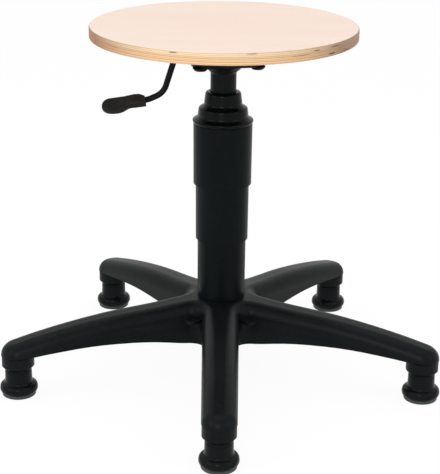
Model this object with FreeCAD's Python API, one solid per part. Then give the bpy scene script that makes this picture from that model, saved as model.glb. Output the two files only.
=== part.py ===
import FreeCAD, Part
import math
import os

# Height-adjustable work stool: a round plywood seat on a gas spring, in a telescopic cover,
# on a five-legged moulded base with glides.
# Millimetres, +Z up. The origin is on the floor, on the column's axis, and one leg points along -Y.
# The stool is drawn with the gas spring fully out, which is its highest seat.

# Travel and fits
LIFT_TRAVEL = 130.0
RUNNING_FIT = 0.05
SLEEVE_GAP = 0.35
REST_GAP = 0.3

# Glides
LEG_COUNT = 5
FOOT_CIRCLE_RADIUS = 285.0
GLIDE_HEIGHT = 39.5
GLIDE_NECK_RADIUS = 18.2
GLIDE_BEAD_RADIUS = 25.15
GLIDE_BEAD_HEIGHT = 12.0
GLIDE_BEAD_BULGE = (0.2, 2.6)
GLIDE_BEAD_SHOULDER = (1.1, 3.2)
GLIDE_NECK_RISE = 9.5
GLIDE_NECK_DRAFT = 0.4
GLIDE_NECK_CHAMFER = 0.8
GLIDE_WAIST = (0.32, 4.0)
GLIDE_FLARE = (0.06, 2.4)
SOLE_HEIGHT = 5.0
SOLE_RIM_RADIUS = 23.3
SOLE_SPIGOT_RADIUS = 20.0
SOLE_SPIGOT_HEIGHT = 2.5
SOLE_TREAD_INSET = 2.2
SOLE_TREAD_ROUND = ((1.1, 0.5), (0.7, 1.6))
SOLE_RIM_BEVEL = ((0.2, 0.4), (0.6, 0.0))
GLIDE_GROOVE_DROP = 3.4
GLIDE_GROOVE_DEPTH = 0.7
GLIDE_GROOVE_WIDTH = 1.0
GLIDE_PIN_RADIUS = 5.45
GLIDE_PIN_LENGTH = 22.0
GLIDE_PIN_ROOT = 14.0
GLIDE_PIN_NOSE = (1.2, 2.0)
GLIDE_RING_WIDTH = 1.6
GLIDE_RING_DEPTH = 0.9
GLIDE_RING_DROP = 6.0
GLIDE_RING_SLIT = 2.4
GLIDE_SOCKET_EXTRA = 2.0

# Five-legged base
LEG_TIP_RADIUS = 22.3
LEG_ROOT_HALF_WIDTH = 25.0
CROTCH_RADIUS = 14.0
LEG_EDGE_ROUND = 17.0
WEB_INSET = 4.0
WEB_WALL = 3.2
LEG_ROOF = 8.0
WEB_COVER = 12.0
BOSS_STEP = 0.6
BOSS_CHAMFER = 3.2
HUB_RISE = 73.5
HUB_DEPTH = 60.0
HUB_FLAT_MARGIN = 1.6
HUB_WALL = 8.0
RIB_COUNT = 6
RIB_THICKNESS = 2.4

# Side outline of a leg: share of the way from the hub's flat top to the foot's axis,
# and height above the hub's top.
LEG_TOP_OUTLINE = (
    (0.09, -1.9),
    (0.263, -7.0),
    (0.462, -11.5),
    (0.661, -18.5),
    (0.861, -28.0),
    (1.0, -36.3),
    (1.16, -47.5),
)
LEG_LIP_OUTLINE = ((0.096, -33.5), (0.458, -35.5), (0.661, -42.0), (0.892, -52.5), (1.16, -56.5))
LEG_UNDER_OUTLINE = (
    (0.044, -60.0),
    (0.223, -54.1),
    (0.462, -49.2),
    (0.637, -49.2),
    (0.892, -54.2),
    (1.16, -58.7),
)

# Stand tube, thrust bearing and bush
STAND_TUBE_RADIUS = 25.0
STAND_TUBE_WALL = 2.0
STAND_TUBE_LENGTH = 210.0
STAND_TUBE_PROTRUSION = 17.0
TAPER_PER_MM = 0.025
STAND_TUBE_FLOOR = 3.0
ROD_RADIUS = 5.0
JOURNAL_RADIUS = 4.0
RACE_RADIUS = 12.0
RACE_THICKNESS = 2.5
BALL_RADIUS = 2.0
BALL_COUNT = 8
BALL_PLAY = 0.02
GROOVE_DEPTH = 0.52
CAGE_THICKNESS = 1.4
CAGE_WIDTH = 4.8
BUMPER_RADIUS = 11.0
BUMPER_LENGTH = 12.0
BUMPER_CLEARANCE = 1.0
BUMPER_ROUND = 4.0
WASHER_RADIUS = 9.0
WASHER_THICKNESS = 1.6
CLIP_RADIUS = 7.0
CLIP_THICKNESS = 1.2
CLIP_GROOVE_DEPTH = 0.8
CLIP_MOUTH = 4.0
ROD_END_LENGTH = 1.5
BUSH_LENGTH = 80.0
BUSH_FLANGE_SETBACK = 0.5
BUSH_FLANGE_THICKNESS = 2.0

# Gas cylinder, piston and valve
CYLINDER_RADIUS = 14.0
CYLINDER_WALL = 1.5
CYLINDER_LENGTH = 256.0
CONE_LENGTH = 48.0
CONE_END_THICKNESS = 2.0
CONE_SHOULDER = 4.0
CONE_WALL = 2.0
ROD_GUIDE_LENGTH = 12.0
ROD_SEAL_LENGTH = 4.0
PISTON_LENGTH = 12.0
PISTON_CLEARANCE = 2.0
PISTON_RING_WIDTH = 3.0
PISTON_RING_DEPTH = 1.6
BUTTON_RADIUS = 3.95
BUTTON_DOME_RADIUS = 8.0
BUTTON_PROTRUSION = 7.2
BUTTON_LENGTH = 14.7
BUTTON_STROKE_ROOM = 6.5
VALVE_PIN_RADIUS = 2.0
VALVE_PIN_END = 2.0

# Telescopic cover
SLEEVE_OVERLAP = 10.5
SLEEVE_END_ROOM = 2.0
COVER_ROOM = 5.8
LOWER_SLEEVE_WALL = 1.6
LOWER_SLEEVE_FOOT_ROOM = 18.5
MIDDLE_SLEEVE_WALL = 1.6
UPPER_SLEEVE_WALL = 2.1
SLEEVE_STEP = 0.9
SLEEVE_DRAFT = 0.0055
SLEEVE_RIM_HEIGHT = 3.0
SLEEVE_FOOT_THICKNESS = 2.0
SHOULDER_ROUND = 1.5
CAP_SKIRT = 6.0
CAP_FLANGE_OVERHANG = 1.1
CAP_WALL = 2.2
CAP_COLLAR_LENGTH = 9.0
CAP_WEB = 3.0
CAP_SHOULDER_DROP = 37.0
CAP_RIM_HEIGHT = 5.3
CAP_RIM_BEVEL = 0.6

# Side outline of the cap: share of the way from the cone socket out to the flange's rim, and share of
# the way from the cover's shoulder up to the cap's top. A pair of points is an arc's middle and end.
CAP_OUTLINE = (
    (0.114, 1.0),
    ((0.234, 0.975), (0.286, 0.915)),
    (0.344, 0.673),
    ((0.363, 0.596), (0.441, 0.547)),
    (0.527, 0.516),
    ((0.630, 0.484), (0.669, 0.426)),
    (0.703, 0.291),
    ((0.725, 0.211), (0.811, 0.166)),
    (0.923, 0.126),
    ((0.991, 0.099), (1.0, 0.063)),
    (0.957, 0.007),
    (0.923, 0.0),
)
CAP_INSIDE_STEPS = (7, 6, 5, 4, 3, 2)

# Seat plate, cone socket and release lever
MECHANISM_TURN = 11.0
SOCKET_WALL = 3.15
SOCKET_SKIRT = 3.0
SOCKET_FLARE = 2.65
SOCKET_FLARE_LENGTH = 6.0
SOCKET_FLARE_BEND = (0.8, 2.6)
SOCKET_FLARE_LIP = 1.5
SOCKET_MOUTH_BEVEL = 0.6
SOCKET_TOP_SETBACK = 1.0
SEAT_PLATE_GAP = 26.5
PLATE_DEPTH = 42.5
PLATE_SHEET = 2.5
PLATE_FLANGE_MARGIN = 15.0
PLATE_FLANGE_CORNER = 22.0
PAN_TOP_SETBACK = 6.0
PAN_TOP_CORNER = 26.0
PAN_SIDE_RUN = 17.0
PAN_FLOOR_CORNER = 18.0
PAN_FLOOR_ROUND = 5.0
WELL_DEPTH = 10.0
PAN_FOOT_DEPTH = 3.0
PAN_FOOT_RADIUS = 10.0
PAN_FOOT_TAPER = 2.5
PAN_FOOT_SETBACK = 9.5
WELL_FLOOR_MARGIN = 4.85
WELL_SIDE_RUN = 8.0
FULCRUM_DISTANCE = 34.0
LEVER_ROD_RADIUS = 4.0
LEVER_INNER_END = 5.0
LEVER_FIRST_BEND = 61.0
LEVER_SECOND_BEND = (79.5, -57.0)
LEVER_THIRD_BEND = (99.0, -65.0)
LEVER_BEND_RADII = (12.0, 22.0, 20.0)
LEVER_GRIP_SLOPE = 6.5
LEVER_GRIP_START = 5.0
LEVER_GRIP_INSERT = 27.0
LEVER_BUTTON_GAP = 0.3
PIVOT_TUBE_RADIUS = 4.5
PIVOT_TUBE_LENGTH = 12.0
LEVER_PIN_RADIUS = 2.5
LEVER_PIN_HEAD_RADIUS = 4.2
LEVER_PIN_HEAD_THICKNESS = 1.5
BRACKET_SHEET = 2.5
BRACKET_LENGTH = 12.0
LEVER_SLOT_WIDTH = 12.0
LEVER_SLOT_TOP = 5.0
LEVER_SLOT_HEIGHT = 24.0

# Lever grip, in its own frame: X along it from the rod's side, Y across, Z through its thickness
GRIP_LENGTH = 57.5
GRIP_TILT = 35.0
FERRULE_HALF_WIDTH = 8.3
FERRULE_LENGTH = 14.0
FERRULE_THICKNESS = 12.0
GRIP_WAIST_HALF_WIDTH = 7.4
FERRULE_BEVEL = (6.5, 4.4)
PAD_THICKNESS = 8.0
PAD_FAR_HALF_WIDTH = 9.6
PAD_NEAR_HALF_WIDTH = 14.6
PAD_DISH_RADIUS = 46.0
PAD_DISH_DEPTH = 1.6
PAD_DISH_PLACE = (17.0, 2.0)
GRIP_EDGE_ROUND = 2.2
GRIP_WAIST_DISTANCE = 3.0
GRIP_BELLY_SETBACK = 4.0
GRIP_FAR_SETBACK = 6.0
GRIP_RAMP_LENGTH = 12.0
GRIP_END_DRAFT = 1.0

# Tangents of the grip's outline: round its end, then back along its near side
GRIP_END_TANGENTS = ((30.0, -3.0), (0.0, 30.0), (-30.0, 0.0))
GRIP_SIDE_TANGENTS = ((-30.0, 0.0), (-18.0, -0.6), (-16.0, 0.5))

# Seat
SEAT_RADIUS = 175.0
SEAT_THICKNESS = 16.0
SEAT_EDGE_ROUND = 2.5
SCREW_SPACING = 140.0
SCREW_RADIUS = 3.0
SCREW_HEAD_RADIUS = 5.5
SCREW_HEAD_HEIGHT = 3.5
SCREW_HEAD_ROUND = 1.2
SCREW_SOCKET_RADIUS = 2.3
SCREW_SOCKET_DEPTH = 2.2
INSERT_RADIUS = 5.0
INSERT_COVER = 4.5
HOLE_PLAY = 0.3

# How far a cutting body passes the faces it cuts, and how near two heights count as one
CUT_MARGIN = 1.0
SAME_PLACE = 1e-3

# Radii and lengths that follow from the sizes above
BALL_PITCH_RADIUS = (JOURNAL_RADIUS + RACE_RADIUS) / 2
HUB_TUBE_RADIUS = STAND_TUBE_RADIUS + HUB_WALL
BUSH_FLANGE_RADIUS = STAND_TUBE_RADIUS - BUSH_FLANGE_SETBACK
LOWER_SLEEVE_RADIUS = STAND_TUBE_RADIUS + COVER_ROOM + LOWER_SLEEVE_WALL
HUB_FLAT_RADIUS = LOWER_SLEEVE_RADIUS + HUB_FLAT_MARGIN
SOCKET_RADIUS = CYLINDER_RADIUS + SOCKET_WALL
SOCKET_FLARE_RADIUS = SOCKET_RADIUS + SOCKET_FLARE
WELL_FLOOR_RADIUS = SOCKET_RADIUS + WELL_FLOOR_MARGIN
WELL_TOP_RADIUS = WELL_FLOOR_RADIUS + WELL_SIDE_RUN
PLATE_FLANGE_HALF = SCREW_SPACING / 2 + PLATE_FLANGE_MARGIN
PAN_TOP_HALF = SCREW_SPACING / 2 - PAN_TOP_SETBACK
PAN_FLOOR_HALF = PAN_TOP_HALF - PAN_SIDE_RUN
INSERT_LENGTH = SEAT_THICKNESS - INSERT_COVER
SCREW_LENGTH = INSERT_LENGTH + PLATE_SHEET

# Heights that follow from the sizes above
HUB_TOP = GLIDE_HEIGHT + HUB_RISE
HUB_BOTTOM = HUB_TOP - HUB_DEPTH
STAND_BOTTOM = HUB_BOTTOM - STAND_TUBE_PROTRUSION
STAND_TOP = STAND_BOTTOM + STAND_TUBE_LENGTH
BEARING_BOTTOM = STAND_BOTTOM + STAND_TUBE_FLOOR
BALL_SPACE = 2 * (BALL_RADIUS - GROOVE_DEPTH + BALL_PLAY)
UPPER_RACE_BOTTOM = BEARING_BOTTOM + RACE_THICKNESS + BALL_SPACE
BALL_CENTRE = BEARING_BOTTOM + RACE_THICKNESS + BALL_SPACE / 2
BEARING_TOP = UPPER_RACE_BOTTOM + RACE_THICKNESS
BUMPER_TOP = BEARING_TOP + BUMPER_LENGTH
WASHER_TOP = STAND_BOTTOM - REST_GAP
CLIP_TOP = WASHER_TOP - WASHER_THICKNESS
ROD_BOTTOM = CLIP_TOP - CLIP_THICKNESS - ROD_END_LENGTH
CYLINDER_BOTTOM = BUMPER_TOP + BUMPER_CLEARANCE + LIFT_TRAVEL
CYLINDER_TOP = CYLINDER_BOTTOM + CYLINDER_LENGTH
CONE_START = CYLINDER_TOP - CONE_LENGTH
PISTON_BOTTOM = CYLINDER_BOTTOM + ROD_GUIDE_LENGTH + ROD_SEAL_LENGTH + PISTON_CLEARANCE
PISTON_TOP = PISTON_BOTTOM + PISTON_LENGTH
SOCKET_BOTTOM = CONE_START - SOCKET_SKIRT
BUTTON_TOP = CYLINDER_TOP + BUTTON_PROTRUSION
LEVER_AXIS_HEIGHT = BUTTON_TOP + LEVER_BUTTON_GAP + LEVER_ROD_RADIUS
FULCRUM_HEIGHT = LEVER_AXIS_HEIGHT - 2 * LEVER_ROD_RADIUS
SEAT_UNDERSIDE = CYLINDER_TOP + SEAT_PLATE_GAP
SEAT_TOP = SEAT_UNDERSIDE + SEAT_THICKNESS
FLANGE_UNDERSIDE = SEAT_UNDERSIDE - PLATE_SHEET
WELL_FLOOR = SEAT_UNDERSIDE - PLATE_DEPTH
PAN_FLOOR = WELL_FLOOR + WELL_DEPTH
COVER_SHOULDER = SOCKET_BOTTOM - CAP_SHOULDER_DROP
UPPER_SLEEVE_LENGTH = CAP_SKIRT + LIFT_TRAVEL / 2 + SLEEVE_OVERLAP + SLEEVE_END_ROOM
UPPER_SLEEVE_BOTTOM = COVER_SHOULDER - UPPER_SLEEVE_LENGTH
LOWER_SLEEVE_TOP = HUB_TOP + LOWER_SLEEVE_FOOT_ROOM + LIFT_TRAVEL / 2 + SLEEVE_OVERLAP
MIDDLE_SLEEVE_BOTTOM = LOWER_SLEEVE_TOP - SLEEVE_OVERLAP
MIDDLE_SLEEVE_TOP = UPPER_SLEEVE_BOTTOM + SLEEVE_OVERLAP

# Radii of the nested sleeves, each from the one inside it
LOWER_SLEEVE_TOP_RADIUS = LOWER_SLEEVE_RADIUS + SLEEVE_DRAFT * (LOWER_SLEEVE_TOP - HUB_TOP)
MIDDLE_SLEEVE_RADIUS = LOWER_SLEEVE_TOP_RADIUS + SLEEVE_STEP + MIDDLE_SLEEVE_WALL
MIDDLE_SLEEVE_TOP_RADIUS = MIDDLE_SLEEVE_RADIUS + SLEEVE_DRAFT * (MIDDLE_SLEEVE_TOP - MIDDLE_SLEEVE_BOTTOM)
UPPER_SLEEVE_RADIUS = MIDDLE_SLEEVE_TOP_RADIUS + SLEEVE_STEP + UPPER_SLEEVE_WALL
UPPER_SLEEVE_TOP_RADIUS = UPPER_SLEEVE_RADIUS + SLEEVE_DRAFT * UPPER_SLEEVE_LENGTH
CAP_FLANGE_RADIUS = UPPER_SLEEVE_TOP_RADIUS + CAP_FLANGE_OVERHANG

Z_AXIS = FreeCAD.Vector(0, 0, 1)
ORIGIN = FreeCAD.Vector(0, 0, 0)
LEG_STEP = 360.0 / LEG_COUNT
FIRST_LEG_ANGLE = -90.0


def cylinder(radius, bottom, top, x=0.0, y=0.0):
    """Upright cylinder between two heights."""
    return Part.makeCylinder(radius, top - bottom, FreeCAD.Vector(x, y, bottom))


def ring(outer, inner, bottom, top):
    """Upright ring between two heights."""
    return cylinder(outer, bottom, top).cut(cylinder(inner, bottom - CUT_MARGIN, top + CUT_MARGIN))


def turned(start, *moves):
    """Solid of revolution about Z. A move is (r, z), or ((r, z) on the way, (r, z) at the end) for an arc."""
    edges = []
    here = FreeCAD.Vector(start[0], 0, start[1])
    first = here
    for move in moves:
        if isinstance(move[0], tuple):
            middle = FreeCAD.Vector(move[0][0], 0, move[0][1])
            end = FreeCAD.Vector(move[1][0], 0, move[1][1])
            edges.append(Part.Arc(here, middle, end).toShape())
        else:
            end = FreeCAD.Vector(move[0], 0, move[1])
            edges.append(Part.LineSegment(here, end).toShape())
        here = end
    edges.append(Part.LineSegment(here, first).toShape())
    return Part.Face(Part.Wire(edges)).revolve(ORIGIN, Z_AXIS, 360)


def box(x_range, y_range, z_range):
    """Box from its limits along each axis."""
    size = [high - low for low, high in (x_range, y_range, z_range)]
    return Part.makeBox(*size, FreeCAD.Vector(x_range[0], y_range[0], z_range[0]))


def rounded_square(half, corner, height):
    """Closed wire of a square with round corners at one height."""
    flat = half - corner
    knee = corner * (1 - math.sqrt(0.5))
    edges = []
    for quarter in range(4):
        start = FreeCAD.Vector(half, -flat, height)
        end = FreeCAD.Vector(half, flat, height)
        middle = FreeCAD.Vector(half - knee, half - knee, height)
        after = FreeCAD.Vector(flat, half, height)
        for edge in (Part.LineSegment(start, end).toShape(), Part.Arc(end, middle, after).toShape()):
            edge.rotate(ORIGIN, Z_AXIS, 90 * quarter)
            edges.append(edge)
    return Part.Wire(edges)


def rotated(shape, angle, centre=ORIGIN, axis=Z_AXIS):
    """Copy of a shape turned about an axis."""
    copy = shape.copy()
    copy.rotate(centre, axis, angle)
    return copy


def leg_angle(number):
    """Direction of a leg, in degrees from +X."""
    return FIRST_LEG_ANGLE + LEG_STEP * number


def stand_taper_radius(height):
    """Outer radius of the stand tube's tapered seat at a height."""
    return STAND_TUBE_RADIUS - TAPER_PER_MM * max(0.0, HUB_TOP - height)


def cone_radius(height):
    """Outer radius of the gas cylinder's cone at a height."""
    return CYLINDER_RADIUS - TAPER_PER_MM * max(0.0, height - CONE_START)


# Five-legged base


def crotch_centre():
    """Centre of the round corner between two legs, with the leg along +X."""
    distance = (LEG_ROOT_HALF_WIDTH + CROTCH_RADIUS) / math.sin(math.pi / LEG_COUNT)
    return distance * math.cos(math.pi / LEG_COUNT), distance * math.sin(math.pi / LEG_COUNT)


def leg_sector(inset, bottom, top):
    """One leg's plan shape along +X, with its share of the hub, drawn in by the inset."""
    tip = LEG_TIP_RADIUS - inset
    crotch = CROTCH_RADIUS + inset
    centre_x, centre_y = crotch_centre()
    away = math.hypot(centre_x - FOOT_CIRCLE_RADIUS, centre_y)
    normal = math.atan2(centre_y, centre_x - FOOT_CIRCLE_RADIUS) - math.acos((crotch + tip) / away)
    tip_x = FOOT_CIRCLE_RADIUS + tip * math.cos(normal)
    tip_y = tip * math.sin(normal)
    arc_start = normal + math.pi
    arc_end = math.pi + math.pi / LEG_COUNT
    angles = (arc_start, (arc_start + arc_end) / 2, arc_end)
    corner = [(centre_x + crotch * math.cos(a), centre_y + crotch * math.sin(a)) for a in angles]

    def point(x, y):
        return FreeCAD.Vector(x, y, bottom)

    near, half_way, inner = corner
    centre = point(0, 0)
    edges = [
        Part.LineSegment(centre, point(inner[0], -inner[1])),
        Part.Arc(point(inner[0], -inner[1]), point(half_way[0], -half_way[1]), point(near[0], -near[1])),
        Part.LineSegment(point(near[0], -near[1]), point(tip_x, -tip_y)),
        Part.Arc(point(tip_x, -tip_y), point(FOOT_CIRCLE_RADIUS + tip, 0), point(tip_x, tip_y)),
        Part.LineSegment(point(tip_x, tip_y), point(*near)),
        Part.Arc(point(*near), point(*half_way), point(*inner)),
        Part.LineSegment(point(*inner), centre),
    ]
    plan = Part.Face(Part.Wire([edge.toShape() for edge in edges]))
    return plan.extrude(FreeCAD.Vector(0, 0, top - bottom))


def outline_point(share, rise):
    """Point of a leg's side outline from its share of the way out and height above the hub's top."""
    reach = HUB_FLAT_RADIUS + share * (FOOT_CIRCLE_RADIUS - HUB_FLAT_RADIUS)
    return FreeCAD.Vector(reach, 0, HUB_TOP + rise)


def outline_edges(outline, level, shift=0.0):
    """Flat stretch over the hub, then one smooth curve through a leg's side outline."""
    hub_edge = FreeCAD.Vector(HUB_FLAT_RADIUS, 0, HUB_TOP + level + shift)
    points = [hub_edge] + [outline_point(share, rise + shift) for share, rise in outline]
    tangent = FreeCAD.Vector(1, 0, 0)
    last = points[-1] - points[-2]
    curve = Part.BSplineCurve()
    curve.interpolate(Points=points, InitialTangent=tangent, FinalTangent=last.normalize())
    start = FreeCAD.Vector(0, 0, hub_edge.z)
    return [Part.LineSegment(start, hub_edge).toShape(), curve.toShape()], start, points[-1]


def side_slab(upper, lower):
    """Slab across a leg between two side outlines."""
    upper_edges, upper_start, upper_end = upper
    lower_edges, lower_start, lower_end = lower
    edges = upper_edges + [Part.LineSegment(upper_end, lower_end).toShape()] + lower_edges[::-1]
    edges.append(Part.LineSegment(lower_start, upper_start).toShape())
    face = Part.Face(Part.Wire(edges))
    width = 2 * crotch_centre()[1]
    face.translate(FreeCAD.Vector(0, -width / 2, 0))
    return face.extrude(FreeCAD.Vector(0, width, 0))


def rim_edges(shape, slab_face_side):
    """Edges round a leg's outline on its upper (1) or lower (-1) side, without those on the sector's cut."""
    edges = []
    half = math.pi / LEG_COUNT
    levels = [face for face in shape.Faces if is_level(face, slab_face_side)]
    seen = set()
    for face in levels:
        for edge in face.Edges:
            middle = edge.valueAt((edge.FirstParameter + edge.LastParameter) / 2)
            on_cut = abs(abs(math.atan2(middle.y, middle.x)) - half) < SAME_PLACE
            across = abs(middle.y) < SAME_PLACE and middle.x < FOOT_CIRCLE_RADIUS
            if not on_cut and not across and edge.hashCode() not in seen:
                seen.add(edge.hashCode())
                edges.append(edge)
    return edges


def is_level(face, side):
    """Whether a face looks up (side 1) or down (side -1)."""
    u_low, u_high, v_low, v_high = face.ParameterRange
    normal = face.normalAt((u_low + u_high) / 2, (v_low + v_high) / 2)
    return side * normal.z > 0.7


def leg_pocket():
    """Hollow under one leg, with its cross ribs left standing."""
    roof = outline_edges(LEG_TOP_OUTLINE, 0.0, -LEG_ROOF)
    floor_start = FreeCAD.Vector(0, 0, 0)
    floor_end = FreeCAD.Vector(roof[2].x, 0, 0)
    floor = ([Part.LineSegment(floor_start, floor_end).toShape()], floor_start, floor_end)
    inset = WEB_INSET + WEB_WALL
    pocket = leg_sector(inset, 0, HUB_TOP + LEG_TIP_RADIUS).common(side_slab(roof, floor))
    boss_side = FOOT_CIRCLE_RADIUS - LEG_TIP_RADIUS + BOSS_STEP
    reach = 2 * FOOT_CIRCLE_RADIUS
    width = (-FOOT_CIRCLE_RADIUS, FOOT_CIRCLE_RADIUS)
    height = (-CUT_MARGIN, HUB_TOP + LEG_TIP_RADIUS)
    pocket = pocket.cut(box((boss_side, reach), width, height))
    pocket = pocket.cut(cylinder(HUB_TUBE_RADIUS, *height))
    pitch = (boss_side - HUB_TUBE_RADIUS) / (RIB_COUNT + 1)
    for number in range(1, RIB_COUNT + 1):
        place = HUB_TUBE_RADIUS + pitch * number
        pocket = pocket.cut(box((place - RIB_THICKNESS / 2, place + RIB_THICKNESS / 2), width, height))
    hub_rib = box((0, reach), (-RIB_THICKNESS / 2, RIB_THICKNESS / 2), height)
    half_step = LEG_STEP / 2
    for angle in (-half_step, half_step):
        pocket = pocket.cut(rotated(hub_rib, angle))
    return pocket


def make_leg():
    """One leg along +X, with its share of the hub, its boss and the hollow underneath."""
    top = outline_edges(LEG_TOP_OUTLINE, 0.0)
    lip = outline_edges(LEG_LIP_OUTLINE, LEG_LIP_OUTLINE[0][1])
    under = outline_edges(LEG_UNDER_OUTLINE, LEG_UNDER_OUTLINE[0][1])
    tall = HUB_TOP + LEG_TIP_RADIUS
    upper = leg_sector(0.0, 0, tall).common(side_slab(top, lip))
    upper = upper.makeFillet(LEG_EDGE_ROUND, rim_edges(upper, 1))
    web_top = outline_edges(LEG_TOP_OUTLINE, 0.0, -WEB_COVER)
    web = leg_sector(WEB_INSET, 0, tall).common(side_slab(web_top, under))
    boss_radius = LEG_TIP_RADIUS - BOSS_STEP
    boss_top = HUB_TOP + LEG_LIP_OUTLINE[-1][1] + BOSS_STEP
    boss = cylinder(boss_radius, GLIDE_HEIGHT, boss_top, FOOT_CIRCLE_RADIUS)
    boss_edge = [edge for edge in boss.Edges if edge.BoundBox.ZMax < GLIDE_HEIGHT + SAME_PLACE]
    boss = boss.makeChamfer(BOSS_CHAMFER, boss_edge)
    leg = upper.fuse([web, boss]).cut(leg_pocket())
    socket_radius = GLIDE_PIN_RADIUS + RUNNING_FIT
    socket_top = GLIDE_HEIGHT + GLIDE_PIN_LENGTH + GLIDE_SOCKET_EXTRA
    return leg.cut(cylinder(socket_radius, GLIDE_HEIGHT - CUT_MARGIN, socket_top, FOOT_CIRCLE_RADIUS))


def make_star_base():
    """Moulded base: five legs round a hub with a tapered bore for the stand tube."""
    leg = make_leg()
    legs = [rotated(leg, leg_angle(number)) for number in range(LEG_COUNT)]
    star = legs[0].fuse(legs[1:]).removeSplitter()
    bore_bottom = HUB_BOTTOM - CUT_MARGIN
    bore = turned(
        (0, bore_bottom),
        (stand_taper_radius(bore_bottom), bore_bottom),
        (STAND_TUBE_RADIUS, HUB_TOP),
        (STAND_TUBE_RADIUS, HUB_TOP + LEG_TIP_RADIUS),
        (0, HUB_TOP + LEG_TIP_RADIUS),
    )
    return star.cut(bore)


# Glides


def make_glide_bell():
    """Plastic glide body: neck, concave flare and round bead, open underneath for its sole."""
    neck_top = GLIDE_HEIGHT - REST_GAP
    neck_foot = GLIDE_BEAD_HEIGHT + GLIDE_NECK_RISE
    step = GLIDE_BEAD_RADIUS - GLIDE_NECK_RADIUS
    waist = (GLIDE_NECK_RADIUS + GLIDE_WAIST[0] * step, neck_foot - GLIDE_WAIST[1])
    flare = (GLIDE_NECK_RADIUS + GLIDE_FLARE[0] * step, neck_foot - GLIDE_FLARE[1])
    bulge = (GLIDE_BEAD_RADIUS - GLIDE_BEAD_BULGE[0], SOLE_HEIGHT + GLIDE_BEAD_BULGE[1])
    bead_top = (GLIDE_BEAD_RADIUS - GLIDE_BEAD_SHOULDER[0], GLIDE_BEAD_HEIGHT + GLIDE_BEAD_SHOULDER[1])
    drafted = GLIDE_NECK_RADIUS - GLIDE_NECK_DRAFT
    bell = turned(
        (0, SOLE_HEIGHT),
        (SOLE_RIM_RADIUS, SOLE_HEIGHT),
        (bulge, (GLIDE_BEAD_RADIUS, GLIDE_BEAD_HEIGHT)),
        (bead_top, waist),
        (flare, (GLIDE_NECK_RADIUS, neck_foot)),
        (drafted, neck_top - GLIDE_NECK_CHAMFER),
        (drafted - GLIDE_NECK_CHAMFER, neck_top),
        (0, neck_top),
    )
    groove_top = neck_top - GLIDE_GROOVE_DROP
    groove_floor = GLIDE_NECK_RADIUS - GLIDE_GROOVE_DEPTH
    bell = bell.cut(ring(GLIDE_BEAD_RADIUS, groove_floor, groove_top - GLIDE_GROOVE_WIDTH, groove_top))
    bell = bell.cut(cylinder(GLIDE_PIN_RADIUS, GLIDE_HEIGHT - GLIDE_PIN_ROOT, GLIDE_HEIGHT))
    return bell.cut(cylinder(SOLE_SPIGOT_RADIUS, SOLE_HEIGHT - CUT_MARGIN, SOLE_HEIGHT + SOLE_SPIGOT_HEIGHT))


def make_glide_sole():
    """Soft sole: a low disc on the floor with a spigot that sits in the bell."""
    tread_round = tuple((SOLE_RIM_RADIUS - inset, rise) for inset, rise in SOLE_TREAD_ROUND)
    rim = [(SOLE_RIM_RADIUS - inset, SOLE_HEIGHT - drop) for inset, drop in SOLE_RIM_BEVEL]
    return turned(
        (0, 0),
        (SOLE_RIM_RADIUS - SOLE_TREAD_INSET, 0),
        tread_round,
        *rim,
        (SOLE_SPIGOT_RADIUS, SOLE_HEIGHT),
        (SOLE_SPIGOT_RADIUS, SOLE_HEIGHT + SOLE_SPIGOT_HEIGHT),
        (0, SOLE_HEIGHT + SOLE_SPIGOT_HEIGHT),
    )


def glide_ring_heights():
    """Bottom and top of the spring ring on a glide's pin."""
    top = GLIDE_HEIGHT + GLIDE_PIN_LENGTH - GLIDE_RING_DROP
    return top - GLIDE_RING_WIDTH, top


def make_glide_pin():
    """Steel pin of a glide, with a groove for the spring ring and a tapered nose."""
    bottom = GLIDE_HEIGHT - GLIDE_PIN_ROOT
    top = GLIDE_HEIGHT + GLIDE_PIN_LENGTH
    low, high = glide_ring_heights()
    return turned(
        (0, bottom),
        (GLIDE_PIN_RADIUS, bottom),
        (GLIDE_PIN_RADIUS, low),
        (GLIDE_PIN_RADIUS - GLIDE_RING_DEPTH, low),
        (GLIDE_PIN_RADIUS - GLIDE_RING_DEPTH, high),
        (GLIDE_PIN_RADIUS, high),
        (GLIDE_PIN_RADIUS, top - GLIDE_PIN_NOSE[1]),
        (GLIDE_PIN_RADIUS - GLIDE_PIN_NOSE[0], top),
        (0, top),
    )


def make_glide_ring():
    """Split spring ring that holds a glide's pin in its socket."""
    low, high = glide_ring_heights()
    whole = ring(GLIDE_PIN_RADIUS, GLIDE_PIN_RADIUS - GLIDE_RING_DEPTH, low, high)
    slit = (-GLIDE_RING_SLIT / 2, GLIDE_RING_SLIT / 2)
    return whole.cut(box((0, 2 * GLIDE_PIN_RADIUS), slit, (low - CUT_MARGIN, high + CUT_MARGIN)))


def placed_at_foot(shape, number):
    """Copy of a glide piece at the end of a leg."""
    copy = shape.copy()
    copy.translate(FreeCAD.Vector(FOOT_CIRCLE_RADIUS, 0, 0))
    return rotated(copy, leg_angle(number))


# Column


def make_stand_tube():
    """Steel stand tube: tapered where it sits in the hub, closed by a floor with the rod's hole."""
    wall = STAND_TUBE_WALL
    tube = turned(
        (JOURNAL_RADIUS + RUNNING_FIT, STAND_BOTTOM),
        (stand_taper_radius(STAND_BOTTOM), STAND_BOTTOM),
        (STAND_TUBE_RADIUS, HUB_TOP),
        (STAND_TUBE_RADIUS, STAND_TOP),
        (STAND_TUBE_RADIUS - wall, STAND_TOP),
        (STAND_TUBE_RADIUS - wall, HUB_TOP),
        (stand_taper_radius(BEARING_BOTTOM) - wall, BEARING_BOTTOM),
        (JOURNAL_RADIUS + RUNNING_FIT, BEARING_BOTTOM),
    )
    return tube


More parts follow.
